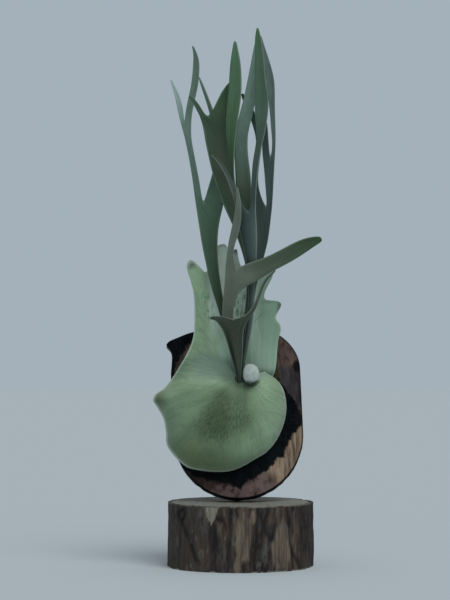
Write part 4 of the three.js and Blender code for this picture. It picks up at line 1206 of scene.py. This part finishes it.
MIDDLE_FROND = {
    "": {"tone": (0.08, 0.1, 0.4), "rungs": [
        (-2, 3, -20, 222), (-1, 4, -27, 236), (1, 7, -30, 255), (2, 10, -33, 272), (4, 13, -36, 289),
        (6, 15, -39, 308), (8, 17, -43, 331), (8, 18, -47, 352), (4, 18, -51, 371), (-2, 18, -55, 388.5),
        (-10, 16, -60, 410.5), (-19, -64, 427.5, 14, -64, 428.5),
        (-25, -68, 446, -5, -68, 448, 13, -68, 448),
    ]},
    "0": {"tone": (0.07, 0.15, 0.8), "rungs": [
        (-30, -72, 459, -7, -72, 461), (-34, -76, 472, -10, -76, 468, -8, -86, 470),
    ]},
    "00": {"tone": (0.08, 0.2, 0.2), "rungs": [
        (-38, -80, 491, -9, -79, 487), (-41, -83, 504.5, -11, -82, 503.5),
        (-43, -86, 519.5, -12, -85, 518.5), (-47, -89, 532.5, -38, -89, 529.5, -11, -88, 530.5),
    ]},
    "000": {"tone": (0.2, 0.3, 0.2), "rungs": [
        (-50.5, -91, 539, -45, -91, 541), (-54.5, -93, 547, -50.5, -93, 550),
        (-60.5, -95, 554, -58.5, -95, 557),
    ]},
    "001": {"tone": (0.05, 0.7, 0.3), "rungs": [
        (-31, -91, 542, -10, -90, 544), (-25, -93, 555, -9, -92, 557), (-19, -95, 565, -8, -94, 566),
        (-13, -96, 572, -9, -95, 572),
    ]},
    "01": {"tone": (0.33, 1, 0), "foot": (0, 0.5, 0.1), "ramp": 1, "rungs": [
        (-12, -86, 483.5, -8, -94, 482.5), (-15, -91, 499.5, -7, -97, 498.5),
        (-17, -95, 517.5, -5, -101, 516), (-16, -99, 537, -2, -104, 537), (-14, -102, 558, 1, -107, 557.5),
        (-13, -105, 577.5, 1, -109, 576.5), (-12, -108, 594.5, 0, -111, 593.5),
        (-10, -110, 606, -3, -112, 608), (-8, -5, -112, 618),
    ]},
    "1": {"tone": (1.4, 0, 0), "ramp": 0.9, "rungs": [
        (-6, -71, 469, 12, -71, 467), (-7, -74, 488, 9, -74, 485), (-7, -77, 504.5, 8, -77, 503),
        (-5, -79, 518.5, 9, -79, 516.5), (-1, -82, 536.5, 14, -82, 534.5), (4, -85, 553, 17.5, -84, 550.5),
        (8, -87, 573, 19.5, -86, 571), (12, -89, 593, 21.5, -88, 591), (14.5, -91, 606.5, 20.5, -90, 605.5),
        (16.5, -92, 617.5, 19.5, -91, 617.5),
    ]},
}
RIGHT_FROND = {
    "": {"tone": (0.34, 0, 0.1), "right_felt": 0.8, "rungs": [
        (-1, 4, -27, 222), (0, 5, -33, 237), (2, 8, -36, 255), (4, 11, -39, 272), (7, 14, -42, 288),
        (9, 16, -45, 306), (10, 17, -50, 328), (9, 18, -55, 350), (6, -60, 369.5, 19, -62, 369.5),
        (2, -65, 387.5, 19, -69, 387.5), (-2, -70, 405.5, 19, -75, 405.5),
        (-5, -82, 422.5, 10, -76, 416.5, 17.5, -82, 424),
    ]},
    "0": {"tone": (0.02, 0.2, 0.3), "rungs": [
        (-8, -96, 439, -1, -85, 437), (-14, -103, 456.5, -11, -93, 461),
        (-21, -106, 470.5, -19, -98, 474.5), (-27, -108, 480.5, -26, -102, 483.5),
        (-35, -109, 487.5, -34, -105, 489.5),
    ]},
    "1": {"tone": (0.29, 1, 0), "ramp": 1.6, "rungs": [
        (13, -80, 436, 17.5, -86, 436), (13, -83, 456, 18.5, -90, 455), (14, -85, 473, 20.5, -92, 473),
        (15.5, -87, 486.5, 22.5, -93, 486.5), (18.5, -89, 500.5, 24.5, -94, 499.5),
        (18.5, -91, 514.5, 28.5, -95, 513.5), (17.5, -93, 526.5, 30.5, -96, 526),
        (16.5, -95, 541, 32.5, -97, 541), (16.5, -97, 559, 32.5, -99, 557),
        (16.5, -99, 576.5, 28.5, -101, 575.5), (16.5, -101, 594.5, 27.5, -103, 594.5),
        (16.5, -103, 611.5, 25.5, -105, 612.5), (16.5, -104, 622, 23.5, -106, 623),
        (18.5, -105, 634, 20.5, -106, 634),
    ]},
}
REAR_FROND = {
    "": {"tone": (0.24, 0, 0), "rungs": [
        (0, 4, -13, 222), (1, 5, -20, 239), (3, 8, -23, 257), (6, 12, -25, 275), (8, 15, -28, 293),
        (10, 16, -30, 312), (11, 18, -33, 331), (15, 23, -36, 351), (19, 28, -39, 370),
        (20, -42, 388.5, 33, -41, 388.5), (19, -45, 405.5, 35, -44, 405.5),
        (17, -50, 432.5, 33, -50, 420.5, 38, -50, 431.5),
    ]},
    "0": {"tone": (0.1, 0.2, 0), "rungs": [
        (15, -53, 452.5, 20, -54, 449.5), (15, -56, 473, 21, -58, 472), (19, -59, 494, 24, -62, 494),
        (19, -62, 511, 26.5, -65, 508), (12, -65, 532, 22, -67, 528), (6, -67, 545.5, 14, -68, 545.5),
        (0, -69, 560.5, 4, -69, 561.5),
    ]},
    "1": {"tone": (0.3, 0, 0), "rungs": [
        (30, 38.5, -52, 448.5), (29, 39.5, -54, 464.5), (27, -57, 483, 35.5, -57, 482, 40.5, -57, 485),
    ]},
    "10": {"tone": (0.1, 0, 0), "rungs": [
        (25, -59, 500, 33.5, -60, 499), (28, -61, 515, 32.5, -61, 516), (29.5, 31.5, -62, 528),
    ]},
    "11": {"tone": (0.75, 0, 0), "rungs": [
        (38.5, -60, 503, 41.5, -59, 500), (36.5, -62, 519, 41.5, -60, 519),
        (35.5, -64, 535, 40.5, -62, 538), (33.5, -66, 552.5, 40.5, -64, 555.5),
        (31.5, -67, 570.5, 40.5, -66, 574.5), (28.5, -68, 587.5, 37.5, -67, 588.5),
        (26.5, -69, 602.5, 33.5, -68, 601.5), (23.5, -70, 616, 28.5, -69, 616), (22.5, 24.5, -70, 629),
    ]},
}
ARM_FROND = {
    "": {"tone": (0.64, 0.1, 0.1), "rungs": [
        (-4, 1, -27, 222), (-7, -1, -38, 236), (-12, -4, -41, 257), (-18, -7, -45, 279),
        (-22, -49, 300, -9, -49, 299), (-20, -54, 323, -7, -54, 318), (-18, -58, 341, -1, -58, 330),
        (-17.5, -62, 359, -5, -62, 354, 12, -61, 338),
    ]},
    "0": {"tone": (0.95, 0.1, 0), "rungs": [
        (-15.5, -67, 372.5, -10, -69, 372.5), (-14, -75, 387.5, -5.5, -78, 387.5),
        (-10, -83, 403.5, 0, -86, 403.5), (-7, -91, 419, 1, -94, 419), (-5, -99, 434, 0, -102, 434),
        (-5, -106, 449, -3, -108, 449),
    ]},
    "1": {"tone": (0.02, 0.4, 0.1), "rungs": [
        (7, -64, 362, 21, -62, 342), (21, -67, 365.5, 32.5, -65, 350), (35.5, -70, 371.5, 46.5, -68, 357),
        (52.5, -74, 380.5, 62.5, -72, 365.5), (67.5, -78, 388.5, 76.5, -76, 374.5),
        (80.5, -81, 392.5, 87.5, -79, 382.5), (93, -83, 393.5, 96, -82, 387.5),
    ]},
}
YOUNG_FROND = {
    "": {"tone": (0.12, 0, 0.5), "rungs": [
        (-4, 1, -28, 221), (-5, -43, 231, 1, -43, 233), (-8, -47, 243, 2, -47, 245),
        (-12, -51, 256, 3, -51, 258), (-16, -56, 271, 3, -56, 272), (-21, -62, 285, 4, -62, 286),
        (-28, -68, 295, -8, -70, 295, 9, -68, 296),
    ]},
    "0": {"tone": (0.25, 0, 0), "rungs": [
        (-32, -77, 296, -19, -76, 300), (-37, -88, 297, -31, -90, 300),
    ]},
    "1": {"tone": (0.25, 0, 0), "rungs": [
        (4, -72, 298, 13, -68, 301), (16, -74, 311, 19, -67, 310), (22.5, -77, 331, 24.5, -70, 330),
        (28.5, -79, 345, 30.5, -73, 343), (40.5, -81, 354, 41.5, -78, 353),
    ]},
}
ANTLERS = [
    # piece, node, blades, how deep the channel is as a share of its width, finish
    ("left_antler", "antler_frond_left", LEFT_FROND, 0.1, green_haired),
    ("middle_antler", "antler_frond_middle", MIDDLE_FROND, 0.12, green_haired),
    ("right_antler", "antler_frond_right", RIGHT_FROND, 0.12, blue_haired),
    ("rear_antler", "antler_frond_rear", REAR_FROND, 0.1, blue_haired),
    ("arm_antler", "antler_frond_arm", ARM_FROND, 0.1, grey_haired),
    ("young_antler", "antler_frond_young", YOUNG_FROND, 0.14, grey_haired),
]
for name, node, blades, cup, finish in ANTLERS:
    antler = blade_leaf(name, blades, cup, FROND_THICKNESS, finish)
    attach(antler, "root")
    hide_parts(node)


# Floor, lights and camera. A plain pale floor, soft light from above and in front, and the photograph's
# view: level, from about three metres away.

FLOOR_RADIUS = 6
FLOOR_DROP = 0.2 * MM
FLOOR_COLOUR = (0.62, 0.71, 0.77, 1)
AIR_LIGHT, AIR_SEEN = (0.285, 0.3, 0.315), (0.371, 0.44, 0.491)
SUN_FROM = Vector((0.45, -1, 1.5))
SUN_STRENGTH, SUN_SPREAD, SUN_COLOUR = 1.3, math.radians(38), (1, 0.985, 0.95)
CAMERA_AWAY = 3
CAMERA_X = -18 * MM
CAMERA_HEIGHT = 319 * MM

floor_paint, tree, shader = new_material("pale_floor", 0.9, Specular_IOR_Level=0.1)
shader.inputs["Base Color"].default_value = FLOOR_COLOUR
bm = bmesh.new()
lowered = Matrix.Translation((0, 0, -FLOOR_DROP))
bmesh.ops.create_circle(bm, segments=96, radius=FLOOR_RADIUS, cap_ends=True, matrix=lowered)
floor = finished("floor", bm, floor_paint)

world = bpy.data.worlds.new("room")
world.use_nodes = True
seen = placed("ShaderNodeLightPath", tree=world.node_tree).outputs["Is Camera Ray"]
led(mixed(seen, AIR_LIGHT, AIR_SEEN), world.node_tree.nodes["Background"].inputs["Color"])
bpy.context.scene.world = world

sun = bpy.data.lights.new("overhead_light", "SUN")
sun.energy, sun.angle, sun.color = SUN_STRENGTH, SUN_SPREAD, SUN_COLOUR
overhead = bpy.data.objects.new("overhead_light", sun)
overhead.rotation_euler = SUN_FROM.to_track_quat("Z", "Y").to_euler()
bpy.context.collection.objects.link(overhead)

lens = bpy.data.cameras.new("camera")
lens.lens, lens.sensor_width, lens.clip_end = 150, 36, 30
camera = bpy.data.objects.new("camera", lens)
camera.location = (CAMERA_X, -CAMERA_AWAY, CAMERA_HEIGHT)
camera.rotation_euler = (math.pi / 2, 0, 0)
bpy.context.collection.objects.link(camera)
bpy.context.scene.camera = camera
bpy.context.scene.view_settings.view_transform = "Standard"
